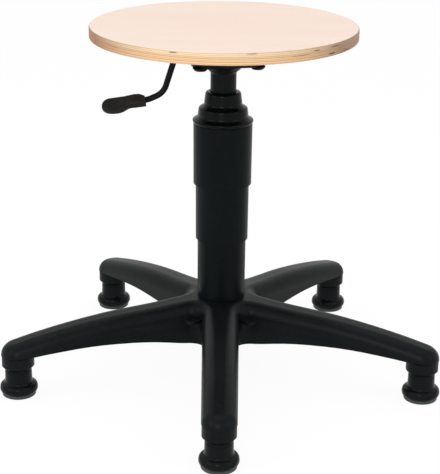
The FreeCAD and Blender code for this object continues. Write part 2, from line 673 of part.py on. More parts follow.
def make_guide_bush():
    """Plastic bush in the top of the stand tube, in which the gas cylinder slides and turns."""
    inner = CYLINDER_RADIUS + RUNNING_FIT
    bush = ring(STAND_TUBE_RADIUS - STAND_TUBE_WALL, inner, STAND_TOP - BUSH_LENGTH, STAND_TOP)
    flange = ring(BUSH_FLANGE_RADIUS, inner, STAND_TOP, STAND_TOP + BUSH_FLANGE_THICKNESS)
    return bush.fuse(flange).removeSplitter()


def ball_groove():
    """Ring-shaped space in which the bearing's balls run."""
    return Part.makeTorus(BALL_PITCH_RADIUS, BALL_RADIUS + BALL_PLAY, FreeCAD.Vector(0, 0, BALL_CENTRE))


def make_lower_race():
    """Bearing race that lies on the stand tube's floor."""
    race = ring(RACE_RADIUS, JOURNAL_RADIUS + RUNNING_FIT, BEARING_BOTTOM, BEARING_BOTTOM + RACE_THICKNESS)
    return race.cut(ball_groove())


def make_upper_race():
    """Bearing race under the piston rod's shoulder."""
    return ring(RACE_RADIUS, JOURNAL_RADIUS, UPPER_RACE_BOTTOM, BEARING_TOP).cut(ball_groove())


def ball_places():
    """Centres of the bearing's balls."""
    for number in range(BALL_COUNT):
        angle = 2 * math.pi * number / BALL_COUNT
        x, y = BALL_PITCH_RADIUS * math.cos(angle), BALL_PITCH_RADIUS * math.sin(angle)
        yield FreeCAD.Vector(x, y, BALL_CENTRE)


def make_balls():
    """Bearing balls as separate solids."""
    return Part.makeCompound([Part.makeSphere(BALL_RADIUS, place) for place in ball_places()])


def make_ball_cage():
    """Plastic cage that spaces the bearing's balls."""
    low, high = BALL_CENTRE - CAGE_THICKNESS / 2, BALL_CENTRE + CAGE_THICKNESS / 2
    inner, outer = BALL_PITCH_RADIUS - CAGE_WIDTH / 2, BALL_PITCH_RADIUS + CAGE_WIDTH / 2
    cage = ring(outer, inner, low, high)
    for place in ball_places():
        hole = cylinder(BALL_RADIUS + RUNNING_FIT, low - CUT_MARGIN, high + CUT_MARGIN, place.x, place.y)
        cage = cage.cut(hole)
    return cage


def make_washer():
    """Washer between the stand tube's floor and the clip."""
    return ring(WASHER_RADIUS, JOURNAL_RADIUS, CLIP_TOP, WASHER_TOP)


def make_clip():
    """Open clip in the rod's groove that stops the rod from lifting out."""
    clip = ring(CLIP_RADIUS, JOURNAL_RADIUS - CLIP_GROOVE_DEPTH, CLIP_TOP - CLIP_THICKNESS, CLIP_TOP)
    mouth = (-CLIP_MOUTH / 2, CLIP_MOUTH / 2)
    height = (CLIP_TOP - CLIP_THICKNESS - CUT_MARGIN, CLIP_TOP + CUT_MARGIN)
    return clip.cut(box((0, 2 * CLIP_RADIUS), mouth, height))


def make_bumper():
    """Rubber bumper on the rod that softens the lowest position."""
    knee = BUMPER_ROUND * (1 - math.sqrt(0.5))
    return turned(
        (ROD_RADIUS, BEARING_TOP),
        (BUMPER_RADIUS, BEARING_TOP),
        (BUMPER_RADIUS, BUMPER_TOP - BUMPER_ROUND),
        ((BUMPER_RADIUS - knee, BUMPER_TOP - knee), (BUMPER_RADIUS - BUMPER_ROUND, BUMPER_TOP)),
        (ROD_RADIUS, BUMPER_TOP),
    )


def make_piston_rod():
    """Piston rod: journal and clip groove at the bottom, spigot for the piston at the top."""
    groove_bottom = CLIP_TOP - CLIP_THICKNESS
    return turned(
        (0, ROD_BOTTOM),
        (JOURNAL_RADIUS, ROD_BOTTOM),
        (JOURNAL_RADIUS, groove_bottom),
        (JOURNAL_RADIUS - CLIP_GROOVE_DEPTH, groove_bottom),
        (JOURNAL_RADIUS - CLIP_GROOVE_DEPTH, CLIP_TOP),
        (JOURNAL_RADIUS, CLIP_TOP),
        (JOURNAL_RADIUS, BEARING_TOP),
        (ROD_RADIUS, BEARING_TOP),
        (ROD_RADIUS, PISTON_BOTTOM),
        (JOURNAL_RADIUS, PISTON_BOTTOM),
        (JOURNAL_RADIUS, PISTON_TOP + ROD_END_LENGTH),
        (0, PISTON_TOP + ROD_END_LENGTH),
    )


def piston_ring_heights():
    """Bottom and top of the piston's sealing ring."""
    middle = (PISTON_BOTTOM + PISTON_TOP) / 2
    return middle - PISTON_RING_WIDTH / 2, middle + PISTON_RING_WIDTH / 2


def bore_radius():
    """Inner radius of the gas cylinder."""
    return CYLINDER_RADIUS - CYLINDER_WALL


def make_piston():
    """Piston on the rod's spigot, with a groove for its ring."""
    outer = bore_radius() - RUNNING_FIT
    low, high = piston_ring_heights()
    piston = ring(outer, JOURNAL_RADIUS, PISTON_BOTTOM, PISTON_TOP)
    return piston.cut(ring(outer + CUT_MARGIN, outer - PISTON_RING_DEPTH, low, high))


def make_piston_ring():
    """Sealing ring round the piston."""
    outer = bore_radius() - RUNNING_FIT
    low, high = piston_ring_heights()
    return ring(outer, outer - PISTON_RING_DEPTH, low, high)


def valve_body_radius():
    """Radius of the valve body, which fills the cylinder's cone."""
    return cone_radius(CYLINDER_TOP) - CONE_WALL


def make_gas_cylinder():
    """Gas cylinder: plain tube with a cone at the top that wedges in the seat plate's socket."""
    bore = bore_radius()
    return turned(
        (bore, CYLINDER_BOTTOM),
        (CYLINDER_RADIUS, CYLINDER_BOTTOM),
        (CYLINDER_RADIUS, CONE_START),
        (cone_radius(CYLINDER_TOP), CYLINDER_TOP),
        (BUTTON_RADIUS + RUNNING_FIT, CYLINDER_TOP),
        (BUTTON_RADIUS + RUNNING_FIT, CYLINDER_TOP - CONE_END_THICKNESS),
        (valve_body_radius(), CYLINDER_TOP - CONE_END_THICKNESS),
        (valve_body_radius(), CONE_START),
        (bore, CONE_START - CONE_SHOULDER),
    )


def make_valve_body():
    """Valve body in the cylinder's cone, bored for the valve pin."""
    top = CYLINDER_TOP - CONE_END_THICKNESS
    button_floor = BUTTON_TOP - BUTTON_LENGTH - BUTTON_STROKE_ROOM
    body = ring(valve_body_radius(), VALVE_PIN_RADIUS + RUNNING_FIT, CONE_START, top)
    return body.cut(cylinder(BUTTON_RADIUS + RUNNING_FIT, button_floor, top + CUT_MARGIN))


def make_release_button():
    """Domed release button with the valve pin below it."""
    dome_centre = BUTTON_TOP - BUTTON_DOME_RADIUS
    shoulder = dome_centre + math.sqrt(BUTTON_DOME_RADIUS ** 2 - BUTTON_RADIUS ** 2)
    half_way = math.asin(BUTTON_RADIUS / BUTTON_DOME_RADIUS) / 2
    on_dome = (BUTTON_DOME_RADIUS * math.sin(half_way), dome_centre + BUTTON_DOME_RADIUS * math.cos(half_way))
    button_bottom = BUTTON_TOP - BUTTON_LENGTH
    return turned(
        (0, CONE_START - VALVE_PIN_END),
        (VALVE_PIN_RADIUS, CONE_START - VALVE_PIN_END),
        (VALVE_PIN_RADIUS, button_bottom),
        (BUTTON_RADIUS, button_bottom),
        (BUTTON_RADIUS, shoulder),
        (on_dome, (0, BUTTON_TOP)),
    )


def make_rod_guide():
    """Guide ring in the cylinder's mouth, in which the piston rod runs."""
    return ring(bore_radius(), ROD_RADIUS + RUNNING_FIT, CYLINDER_BOTTOM, CYLINDER_BOTTOM + ROD_GUIDE_LENGTH)


def make_rod_seal():
    """Seal above the rod guide."""
    low = CYLINDER_BOTTOM + ROD_GUIDE_LENGTH
    return ring(bore_radius(), ROD_RADIUS + RUNNING_FIT, low, low + ROD_SEAL_LENGTH)


# Telescopic cover


def tapered_sleeve(radius, wall, bottom, top):
    """Sleeve that widens slightly upwards, from its outer radius at the bottom."""
    top_radius = radius + SLEEVE_DRAFT * (top - bottom)
    return turned((radius - wall, bottom), (radius, bottom), (top_radius, top), (top_radius - wall, top))


def make_lower_sleeve():
    """Lowest sleeve: stands on the hub round the stand tube, with a guide rim at its top."""
    body = tapered_sleeve(LOWER_SLEEVE_RADIUS, LOWER_SLEEVE_WALL, HUB_TOP, LOWER_SLEEVE_TOP)
    foot = ring(LOWER_SLEEVE_RADIUS, STAND_TUBE_RADIUS + REST_GAP, HUB_TOP, HUB_TOP + SLEEVE_FOOT_THICKNESS)
    rim_outer = LOWER_SLEEVE_TOP_RADIUS + SLEEVE_STEP - SLEEVE_GAP
    rim_inner = LOWER_SLEEVE_TOP_RADIUS - LOWER_SLEEVE_WALL
    rim = ring(rim_outer, rim_inner, LOWER_SLEEVE_TOP - SLEEVE_RIM_HEIGHT, LOWER_SLEEVE_TOP)
    return body.fuse([foot, rim]).removeSplitter()


def make_middle_sleeve():
    """Middle sleeve: an inner rim at its foot and an outer rim at its top guide it between its neighbours."""
    body = tapered_sleeve(MIDDLE_SLEEVE_RADIUS, MIDDLE_SLEEVE_WALL, MIDDLE_SLEEVE_BOTTOM, MIDDLE_SLEEVE_TOP)
    foot_inner = LOWER_SLEEVE_TOP_RADIUS + SLEEVE_GAP
    foot_top = MIDDLE_SLEEVE_BOTTOM + SLEEVE_RIM_HEIGHT
    foot = ring(MIDDLE_SLEEVE_RADIUS, foot_inner, MIDDLE_SLEEVE_BOTTOM, foot_top)
    rim_outer = MIDDLE_SLEEVE_TOP_RADIUS + SLEEVE_STEP - SLEEVE_GAP
    rim_inner = MIDDLE_SLEEVE_TOP_RADIUS - MIDDLE_SLEEVE_WALL
    rim = ring(rim_outer, rim_inner, MIDDLE_SLEEVE_TOP - SLEEVE_RIM_HEIGHT, MIDDLE_SLEEVE_TOP)
    return body.fuse([foot, rim]).removeSplitter()


def make_upper_sleeve():
    """Upper sleeve: round shoulder under the cap and an inner guide rim at its foot."""
    wall = UPPER_SLEEVE_WALL
    outer = UPPER_SLEEVE_TOP_RADIUS
    knee = SHOULDER_ROUND * (1 - math.sqrt(0.5))
    body = turned(
        (UPPER_SLEEVE_RADIUS - wall, UPPER_SLEEVE_BOTTOM),
        (UPPER_SLEEVE_RADIUS, UPPER_SLEEVE_BOTTOM),
        (outer, COVER_SHOULDER - SHOULDER_ROUND),
        ((outer - knee, COVER_SHOULDER - knee), (outer - SHOULDER_ROUND, COVER_SHOULDER)),
        (outer - wall, COVER_SHOULDER),
    )
    rim_top = UPPER_SLEEVE_BOTTOM + SLEEVE_RIM_HEIGHT
    rim = ring(UPPER_SLEEVE_RADIUS, MIDDLE_SLEEVE_TOP_RADIUS + SLEEVE_GAP, UPPER_SLEEVE_BOTTOM, rim_top)
    return body.fuse(rim).removeSplitter()


def cap_point(point):
    """Radius and height of a point of the cap's side outline."""
    out, up = point
    radius = SOCKET_RADIUS + out * (CAP_FLANGE_RADIUS - SOCKET_RADIUS)
    return radius, COVER_SHOULDER + up * (SOCKET_BOTTOM + CAP_RIM_HEIGHT - COVER_SHOULDER)


def make_cover_cap():
    """Stepped cap: collar on the gas cylinder, two domes, a flange on the sleeve and a skirt inside it."""
    outside = []
    for step in CAP_OUTLINE:
        if isinstance(step[0], tuple):
            outside.append((cap_point(step[0]), cap_point(step[1])))
        else:
            outside.append(cap_point(step))
    inside = []
    for number in CAP_INSIDE_STEPS:
        corner = outside[number][1] if isinstance(outside[number][0], tuple) else outside[number]
        inside.append((corner[0] - CAP_WALL, corner[1] - CAP_WALL))
    web_low = SOCKET_BOTTOM - CAP_WEB
    grip = CYLINDER_RADIUS
    neck = SOCKET_RADIUS + REST_GAP
    collar_bottom = SOCKET_BOTTOM - CAP_COLLAR_LENGTH
    skirt_outer = UPPER_SLEEVE_TOP_RADIUS - SLEEVE_DRAFT * CAP_SKIRT - UPPER_SLEEVE_WALL
    skirt_bottom = COVER_SHOULDER - CAP_SKIRT
    rim_top = SOCKET_BOTTOM + CAP_RIM_HEIGHT
    return turned(
        (grip, collar_bottom),
        (grip, SOCKET_BOTTOM),
        (neck, SOCKET_BOTTOM),
        (neck, rim_top - CAP_RIM_BEVEL),
        (neck + CAP_RIM_BEVEL, rim_top),
        *outside,
        (skirt_outer, COVER_SHOULDER),
        (skirt_outer, skirt_bottom),
        (skirt_outer - CAP_WALL, skirt_bottom),
        (skirt_outer - CAP_WALL, COVER_SHOULDER),
        *inside,
        (inside[-1][0], web_low),
        (grip + CAP_WALL, web_low),
        (grip + CAP_WALL, collar_bottom),
    )


# Seat plate, socket and lever


def pan_solid(offset, well_offset):
    """Inside or outside of the pressed pan: a tapered square dish with a round well."""
    floor = PAN_FLOOR + offset
    top = rounded_square(PAN_TOP_HALF - offset, PAN_TOP_CORNER - offset, SEAT_UNDERSIDE)
    bottom = rounded_square(PAN_FLOOR_HALF - offset, PAN_FLOOR_CORNER - offset, floor)
    dish = Part.makeLoft([bottom, top], True, True)
    floor_edges = [edge for edge in dish.Edges if edge.BoundBox.ZMax < floor + SAME_PLACE]
    dish = dish.makeFillet(PAN_FLOOR_ROUND - offset / 2, floor_edges)
    well = turned(
        (0, WELL_FLOOR + offset),
        (WELL_FLOOR_RADIUS - well_offset, WELL_FLOOR + offset),
        (WELL_TOP_RADIUS - well_offset, floor),
        (WELL_TOP_RADIUS - well_offset, floor + offset + CUT_MARGIN),
        (0, floor + offset + CUT_MARGIN),
    )
    feet = []
    reach = PAN_FLOOR_HALF - PAN_FOOT_SETBACK
    for x_side in (-1, 1):
        for y_side in (-1, 1):
            foot = turned(
                (0, floor - PAN_FOOT_DEPTH),
                (PAN_FOOT_RADIUS - PAN_FOOT_TAPER - well_offset, floor - PAN_FOOT_DEPTH),
                (PAN_FOOT_RADIUS - well_offset, floor),
                (PAN_FOOT_RADIUS - well_offset, floor + CUT_MARGIN),
                (0, floor + CUT_MARGIN),
            )
            foot.translate(FreeCAD.Vector(x_side * reach, y_side * reach, 0))
            feet.append(foot)
    return dish.fuse([well] + feet)


def screw_places():
    """Centres of the four seat screws, before the mechanism is turned."""
    for x_side in (-1, 1):
        for y_side in (-1, 1):
            yield x_side * SCREW_SPACING / 2, y_side * SCREW_SPACING / 2


def make_seat_plate():
    """Pressed seat plate: flange under the seat, pan below it, holes for screws, socket and lever."""
    flange_bottom = rounded_square(PLATE_FLANGE_HALF, PLATE_FLANGE_CORNER, FLANGE_UNDERSIDE)
    flange = Part.Face(flange_bottom).extrude(FreeCAD.Vector(0, 0, PLATE_SHEET))
    plate = flange.fuse(pan_solid(0.0, 0.0)).cut(pan_solid(PLATE_SHEET, PLATE_SHEET / 2))
    plate = plate.cut(cylinder(SOCKET_RADIUS, WELL_FLOOR - CUT_MARGIN, SEAT_UNDERSIDE))
    for x, y in screw_places():
        hole_ends = (FLANGE_UNDERSIDE - CUT_MARGIN, SEAT_UNDERSIDE + CUT_MARGIN)
        plate = plate.cut(cylinder(SCREW_RADIUS + HOLE_PLAY, *hole_ends, x, y))
    slot_top = LEVER_AXIS_HEIGHT + LEVER_ROD_RADIUS + LEVER_SLOT_TOP
    slot_side = (-PAN_TOP_HALF - PLATE_SHEET, -PAN_FLOOR_HALF + PAN_FLOOR_ROUND)
    slot_width = (-LEVER_SLOT_WIDTH / 2, LEVER_SLOT_WIDTH / 2)
    plate = plate.cut(box(slot_side, slot_width, (slot_top - LEVER_SLOT_HEIGHT, slot_top)))
    return plate.removeSplitter()


def make_cone_socket():
    """Steel socket through the pan's floor, bored to the gas cylinder's cone."""
    flare_bottom = WELL_FLOOR - SOCKET_FLARE_LENGTH
    bend = (SOCKET_RADIUS + SOCKET_FLARE_BEND[0], flare_bottom + SOCKET_FLARE_BEND[1])
    outside = turned(
        (0, SOCKET_BOTTOM),
        (SOCKET_RADIUS - SOCKET_MOUTH_BEVEL, SOCKET_BOTTOM),
        (SOCKET_RADIUS, SOCKET_BOTTOM + SOCKET_MOUTH_BEVEL),
        (SOCKET_RADIUS, flare_bottom),
        (bend, (SOCKET_FLARE_RADIUS, WELL_FLOOR - SOCKET_FLARE_LIP)),
        (SOCKET_FLARE_RADIUS, WELL_FLOOR),
        (SOCKET_RADIUS, WELL_FLOOR),
        (SOCKET_RADIUS, CYLINDER_TOP - SOCKET_TOP_SETBACK),
        (0, CYLINDER_TOP - SOCKET_TOP_SETBACK),
    )
    bore = turned(
        (0, SOCKET_BOTTOM - CUT_MARGIN),
        (CYLINDER_RADIUS, SOCKET_BOTTOM - CUT_MARGIN),
        (CYLINDER_RADIUS, CONE_START),
        (cone_radius(CYLINDER_TOP), CYLINDER_TOP),
        (0, CYLINDER_TOP),
    )
    return outside.cut(bore)


def pan_inside_height():
    """Height of the pan's inner floor."""
    return PAN_FLOOR + PLATE_SHEET


def make_lever_bracket():
    """Bent bracket on the pan's floor whose two ears hold the lever's pin."""
    low = pan_inside_height()
    inner = PIVOT_TUBE_LENGTH / 2 + REST_GAP
    outer = inner + BRACKET_SHEET
    x_range = (-FULCRUM_DISTANCE - BRACKET_LENGTH / 2, -FULCRUM_DISTANCE + BRACKET_LENGTH / 2)
    base = box(x_range, (-outer, outer), (low, low + BRACKET_SHEET / 2))
    ears = []
    for y_range in ((-outer, -inner), (inner, outer)):
        ear = box(x_range, y_range, (low, FULCRUM_HEIGHT))
        cap = Part.makeCylinder(
            BRACKET_LENGTH / 2,
            BRACKET_SHEET,
            FreeCAD.Vector(-FULCRUM_DISTANCE, y_range[0], FULCRUM_HEIGHT),
            FreeCAD.Vector(0, 1, 0),
        )
        ears.append(ear.fuse(cap))
    bracket = base.fuse(ears).removeSplitter()
    return bracket.cut(fulcrum_cylinder(LEVER_PIN_RADIUS, 2 * outer))


def fulcrum_cylinder(radius, length):
    """Cylinder along the lever's fulcrum, centred on the rod's plane."""
    start = FreeCAD.Vector(-FULCRUM_DISTANCE, -length / 2, FULCRUM_HEIGHT)
    return Part.makeCylinder(radius, length, start, FreeCAD.Vector(0, 1, 0))


def make_lever_pin():
    """Fulcrum pin with a head at each end."""
    outer = PIVOT_TUBE_LENGTH / 2 + REST_GAP + BRACKET_SHEET
    pin = fulcrum_cylinder(LEVER_PIN_RADIUS, 2 * outer)
    heads = []
    for y in (-outer - LEVER_PIN_HEAD_THICKNESS, outer):
        start = FreeCAD.Vector(-FULCRUM_DISTANCE, y, FULCRUM_HEIGHT)
        heads.append(
            Part.makeCylinder(LEVER_PIN_HEAD_RADIUS, LEVER_PIN_HEAD_THICKNESS, start, FreeCAD.Vector(0, 1, 0))
        )
    return pin.fuse(heads).removeSplitter()


def lever_points():
    """Corners of the lever rod's centre line in the plane y = 0, from the button outwards."""
    corners = [(-LEVER_INNER_END, 0.0), (LEVER_FIRST_BEND, 0.0), LEVER_SECOND_BEND, LEVER_THIRD_BEND]
    slope = math.radians(LEVER_GRIP_SLOPE)
    run = LEVER_GRIP_START + LEVER_GRIP_INSERT
    out, rise = corners[-1]
    corners.append((out + run * math.cos(slope), rise - run * math.sin(slope)))
    return [FreeCAD.Vector(-out, 0, LEVER_AXIS_HEIGHT + rise) for out, rise in corners]


def rounded_path(points, radii):
    """Wire of straight runs joined by tangent arcs."""
    edges = []
    here = points[0]
    for before, corner, after, radius in zip(points, points[1:], points[2:], radii):
        back = (before - corner).normalize()
        ahead = (after - corner).normalize()
        half = back.getAngle(ahead) / 2
        reach = radius / math.tan(half)
        start = corner + back * reach
        end = corner + ahead * reach
        inward = (back + ahead).normalize()
        middle = corner + inward * (radius / math.sin(half) - radius)
        edges.append(Part.LineSegment(here, start).toShape())
        edges.append(Part.Arc(start, middle, end).toShape())
        here = end
    edges.append(Part.LineSegment(here, points[-1]).toShape())
    return Part.Wire(edges)


def make_lever_rod():
    """Bent round rod of the release lever, with the pivot tube welded under it."""
    points = lever_points()
    path = rounded_path(points, LEVER_BEND_RADII)
    circle = Part.Circle(points[0], FreeCAD.Vector(1, 0, 0), LEVER_ROD_RADIUS).toShape()
    rod = path.makePipeShell([Part.Wire([circle])], True, False)
    tube = fulcrum_cylinder(PIVOT_TUBE_RADIUS, PIVOT_TUBE_LENGTH)
    return rod.fuse(tube).cut(fulcrum_cylinder(LEVER_PIN_RADIUS + RUNNING_FIT, 2 * PIVOT_TUBE_LENGTH))


def grip_outline():
    """Face of the grip's plan outline: a straight far side, and a waist and round belly on the near side."""
    waist_x = FERRULE_LENGTH + GRIP_WAIST_DISTANCE
    belly_x = GRIP_LENGTH - PAD_NEAR_HALF_WIDTH - GRIP_BELLY_SETBACK
    far_x = GRIP_LENGTH - PAD_FAR_HALF_WIDTH - GRIP_FAR_SETBACK
    tip_y = (PAD_NEAR_HALF_WIDTH - PAD_FAR_HALF_WIDTH) / 2
    points = {
        "bevel_start": FreeCAD.Vector(0, -FERRULE_BEVEL[1], 0),
        "far_start": FreeCAD.Vector(FERRULE_BEVEL[0], -FERRULE_HALF_WIDTH, 0),
        "far_end": FreeCAD.Vector(far_x, -PAD_FAR_HALF_WIDTH, 0),
        "tip": FreeCAD.Vector(GRIP_LENGTH, tip_y, 0),
        "belly": FreeCAD.Vector(belly_x, PAD_NEAR_HALF_WIDTH, 0),
        "waist": FreeCAD.Vector(waist_x, GRIP_WAIST_HALF_WIDTH, 0),
        "near_start": FreeCAD.Vector(0, FERRULE_HALF_WIDTH, 0),
    }
    round_end = Part.BSplineCurve()
    round_end.interpolate(
        Points=[points["far_end"], points["tip"], points["belly"]],
        Tangents=[FreeCAD.Vector(x, y, 0) for x, y in GRIP_END_TANGENTS],
        TangentFlags=[True, True, True],
    )
    near_side = Part.BSplineCurve()
    near_side.interpolate(
        Points=[points["belly"], points["waist"], points["near_start"]],
        Tangents=[FreeCAD.Vector(x, y, 0) for x, y in GRIP_SIDE_TANGENTS],
        TangentFlags=[True, True, True],
    )
    edges = [
        Part.LineSegment(points["near_start"], points["bevel_start"]).toShape(),
        Part.LineSegment(points["bevel_start"], points["far_start"]).toShape(),
        Part.LineSegment(points["far_start"], points["far_end"]).toShape(),
        round_end.toShape(),
        near_side.toShape(),
    ]
    return Part.Face(Part.Wire(edges))


def make_lever_grip():
    """Plastic grip: boxy ferrule on the rod and a thinner oval pad with a shallow thumb dish."""
    outline = grip_outline()
    outline.translate(FreeCAD.Vector(0, 0, -FERRULE_THICKNESS / 2))
    body = outline.extrude(FreeCAD.Vector(0, 0, FERRULE_THICKNESS))
    half_ferrule, half_pad = FERRULE_THICKNESS / 2, PAD_THICKNESS / 2
    ramp = FERRULE_LENGTH + GRIP_RAMP_LENGTH
    upper_side = [
        (0, half_ferrule - GRIP_END_DRAFT),
        (FERRULE_LENGTH, half_ferrule),
        (ramp, half_pad),
        (GRIP_LENGTH, half_pad - GRIP_END_DRAFT),
    ]
    side = upper_side + [(x, -z) for x, z in reversed(upper_side)]
    corners = [FreeCAD.Vector(x, -2 * PAD_NEAR_HALF_WIDTH, z) for x, z in side]
    profile = Part.Face(Part.makePolygon(corners + corners[:1]))
    body = body.common(profile.extrude(FreeCAD.Vector(0, 4 * PAD_NEAR_HALF_WIDTH, 0)))
    middle = half_pad / 2
    rims = [edge for edge in body.Edges if edge.BoundBox.ZMin > middle or edge.BoundBox.ZMax < -middle]
    rims = [edge for edge in rims if edge.BoundBox.XLength > FERRULE_BEVEL[0] / 2]
    body = body.makeFillet(GRIP_EDGE_ROUND, rims)
    dish_x, dish_y = GRIP_LENGTH - PAD_DISH_PLACE[0], PAD_DISH_PLACE[1]
    dish_centre = FreeCAD.Vector(dish_x, dish_y, half_pad - PAD_DISH_DEPTH + PAD_DISH_RADIUS)
    body = body.cut(Part.makeSphere(PAD_DISH_RADIUS, dish_centre))
    body = rotated(body, 180, ORIGIN, FreeCAD.Vector(0, 0, 1))
    body = rotated(body, GRIP_TILT, ORIGIN, FreeCAD.Vector(1, 0, 0))
    body = rotated(body, -LEVER_GRIP_SLOPE, ORIGIN, FreeCAD.Vector(0, 1, 0))
    points = lever_points()
    along = (points[-1] - points[-2]).normalize()
    body.translate(points[-2] + along * LEVER_GRIP_START)
    bore = Part.makeCylinder(LEVER_ROD_RADIUS, LEVER_GRIP_INSERT + LEVER_GRIP_START, points[-2], along)
    return body.cut(bore)


def make_seat_screws():
    """Four socket-head screws that hold the plate to the seat."""
    screws = []
    head_bottom = FLANGE_UNDERSIDE - SCREW_HEAD_HEIGHT
    for x, y in screw_places():
        shank_top = FLANGE_UNDERSIDE + SCREW_LENGTH
        screw = cylinder(SCREW_RADIUS, FLANGE_UNDERSIDE, shank_top, x, y)
        head = cylinder(SCREW_HEAD_RADIUS, head_bottom, FLANGE_UNDERSIDE, x, y)
        rim = [edge for edge in head.Edges if edge.BoundBox.ZMax < head_bottom + SAME_PLACE]
        head = head.makeFillet(SCREW_HEAD_ROUND, rim)
        socket_top = head_bottom + SCREW_SOCKET_DEPTH
        socket = cylinder(SCREW_SOCKET_RADIUS, head_bottom - CUT_MARGIN, socket_top, x, y)
        screws.append(screw.fuse(head).removeSplitter().cut(socket))
    return Part.makeCompound(screws)


def make_insert_nuts():
    """Four threaded inserts set into the seat's underside."""
    nuts = []
    top = SEAT_UNDERSIDE + INSERT_LENGTH
    for x, y in screw_places():
        nut = cylinder(INSERT_RADIUS, SEAT_UNDERSIDE, top, x, y)
        nuts.append(nut.cut(cylinder(SCREW_RADIUS, SEAT_UNDERSIDE - CUT_MARGIN, top + CUT_MARGIN, x, y)))
    return Part.makeCompound(nuts)


def make_seat_board():
    """Round plywood seat, already in the column's frame, with blind holes for the inserts."""
    seat = cylinder(SEAT_RADIUS, SEAT_UNDERSIDE, SEAT_TOP)
    rims = [edge for edge in seat.Edges if edge.BoundBox.ZLength < SAME_PLACE]
    seat = seat.makeFillet(SEAT_EDGE_ROUND, rims)
    for x, y in screw_places():
        hole = cylinder(INSERT_RADIUS, SEAT_UNDERSIDE - CUT_MARGIN, SEAT_UNDERSIDE + INSERT_LENGTH, x, y)
        seat = seat.cut(rotated(hole, MECHANISM_TURN))
    return seat


def column_pieces():
    """Pieces of the column, by name."""
    return {
        "star_base": make_star_base(),
        "stand_tube": make_stand_tube(),
        "guide_bush": make_guide_bush(),
        "thrust_race_lower": make_lower_race(),
        "thrust_race_upper": make_upper_race(),
        "thrust_balls": make_balls(),
        "ball_cage": make_ball_cage(),
        "rod_washer": make_washer(),
        "rod_clip": make_clip(),
        "rubber_bumper": make_bumper(),
        "piston_rod": make_piston_rod(),
        "piston": make_piston(),
        "piston_ring": make_piston_ring(),
        "gas_cylinder": make_gas_cylinder(),
        "rod_guide": make_rod_guide(),
        "rod_seal": make_rod_seal(),
        "valve_body": make_valve_body(),
        "release_button": make_release_button(),
        "lower_sleeve": make_lower_sleeve(),
        "middle_sleeve": make_middle_sleeve(),
        "upper_sleeve": make_upper_sleeve(),
        "cover_cap": make_cover_cap(),
        "cone_socket": make_cone_socket(),
        "seat_board": make_seat_board(),
    }


def mechanism_pieces():
    """Pieces of the seat plate and lever, turned to the mechanism's direction, by name."""
    pieces = {
        "seat_plate": make_seat_plate(),
        "lever_bracket": make_lever_bracket(),
        "lever_pin": make_lever_pin(),
        "lever_rod": make_lever_rod(),
        "lever_grip": make_lever_grip(),
        "seat_screws": make_seat_screws(),
        "insert_nuts": make_insert_nuts(),
    }
    return {name: rotated(shape, MECHANISM_TURN) for name, shape in pieces.items()}


def glide_pieces():
    """Pieces of the five glides, by name."""
    kinds = {
        "bell": make_glide_bell(),
        "pin": make_glide_pin(),
        "ring": make_glide_ring(),
        "sole": make_glide_sole(),
    }
    pieces = {}
    for number in range(LEG_COUNT):
        for kind, shape in kinds.items():
            pieces[f"glide_{number + 1}_{kind}"] = placed_at_foot(shape, number)
    return pieces


def main():
    """Write every piece to its own STEP file."""
    os.makedirs("parts", exist_ok=True)
    pieces = {**column_pieces(), **mechanism_pieces(), **glide_pieces()}
    for name, shape in pieces.items():
        shape.exportStep(f"parts/{name}.step")
    print(f"{len(pieces)} pieces, seat top {SEAT_TOP:.2f}, lowest seat {SEAT_TOP - LIFT_TRAVEL:.2f}")


main()
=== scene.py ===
"""Looks of a height-adjustable work stool: plywood seat, black steel and moulded plastic, soft studio light.

Metres, +Z up, the origin on the floor on the column's axis. One leg points along -Y, towards the camera.
"""

from __future__ import annotations

import logging
import math
from collections.abc import Callable
from dataclasses import dataclass
from enum import Enum
from typing import Union

import bmesh
import bpy
from mathutils import Matrix, Vector


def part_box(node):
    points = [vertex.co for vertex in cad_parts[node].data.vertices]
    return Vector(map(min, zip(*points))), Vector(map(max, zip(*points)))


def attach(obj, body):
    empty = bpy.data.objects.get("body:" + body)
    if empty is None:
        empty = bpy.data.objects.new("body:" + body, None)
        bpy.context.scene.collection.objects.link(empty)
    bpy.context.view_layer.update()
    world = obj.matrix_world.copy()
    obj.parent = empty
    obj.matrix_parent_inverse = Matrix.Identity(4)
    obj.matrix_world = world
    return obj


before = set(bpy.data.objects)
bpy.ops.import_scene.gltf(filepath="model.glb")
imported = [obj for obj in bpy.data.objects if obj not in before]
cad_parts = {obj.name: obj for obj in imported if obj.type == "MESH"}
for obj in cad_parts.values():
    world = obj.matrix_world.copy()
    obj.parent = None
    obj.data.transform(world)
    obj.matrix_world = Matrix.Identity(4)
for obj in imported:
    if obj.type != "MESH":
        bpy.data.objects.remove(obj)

LOG = logging.getLogger("work_stool")
MM = 0.001
LEG_COUNT = 5
LEG_STEP = 360.0 / LEG_COUNT
FRONT_LEG_TURN = -90.0
GLIDE_NUMBERS = range(1, LEG_COUNT + 1)
WHITE = (1.0, 1.0, 1.0, 1.0)
Triple = tuple[float, float, float]
Colour = Triple
Span = tuple[float, float]
Finishing = tuple[tuple[str, str], ...]

# Edges up to this angle, in degrees, are shaded smooth
SMOOTH_ANGLE = 35.0
# Corners closer than this are one corner
SAME_PLACE = 0.00001
# A face looks up or down where its normal does so by this share
FACING = 0.9
# Sockets of the Mix node that blends colours
MIX_SHARE = 0
MIX_FIRST = 6
MIX_SECOND = 7
MIX_RESULT = 2


# Shader maths


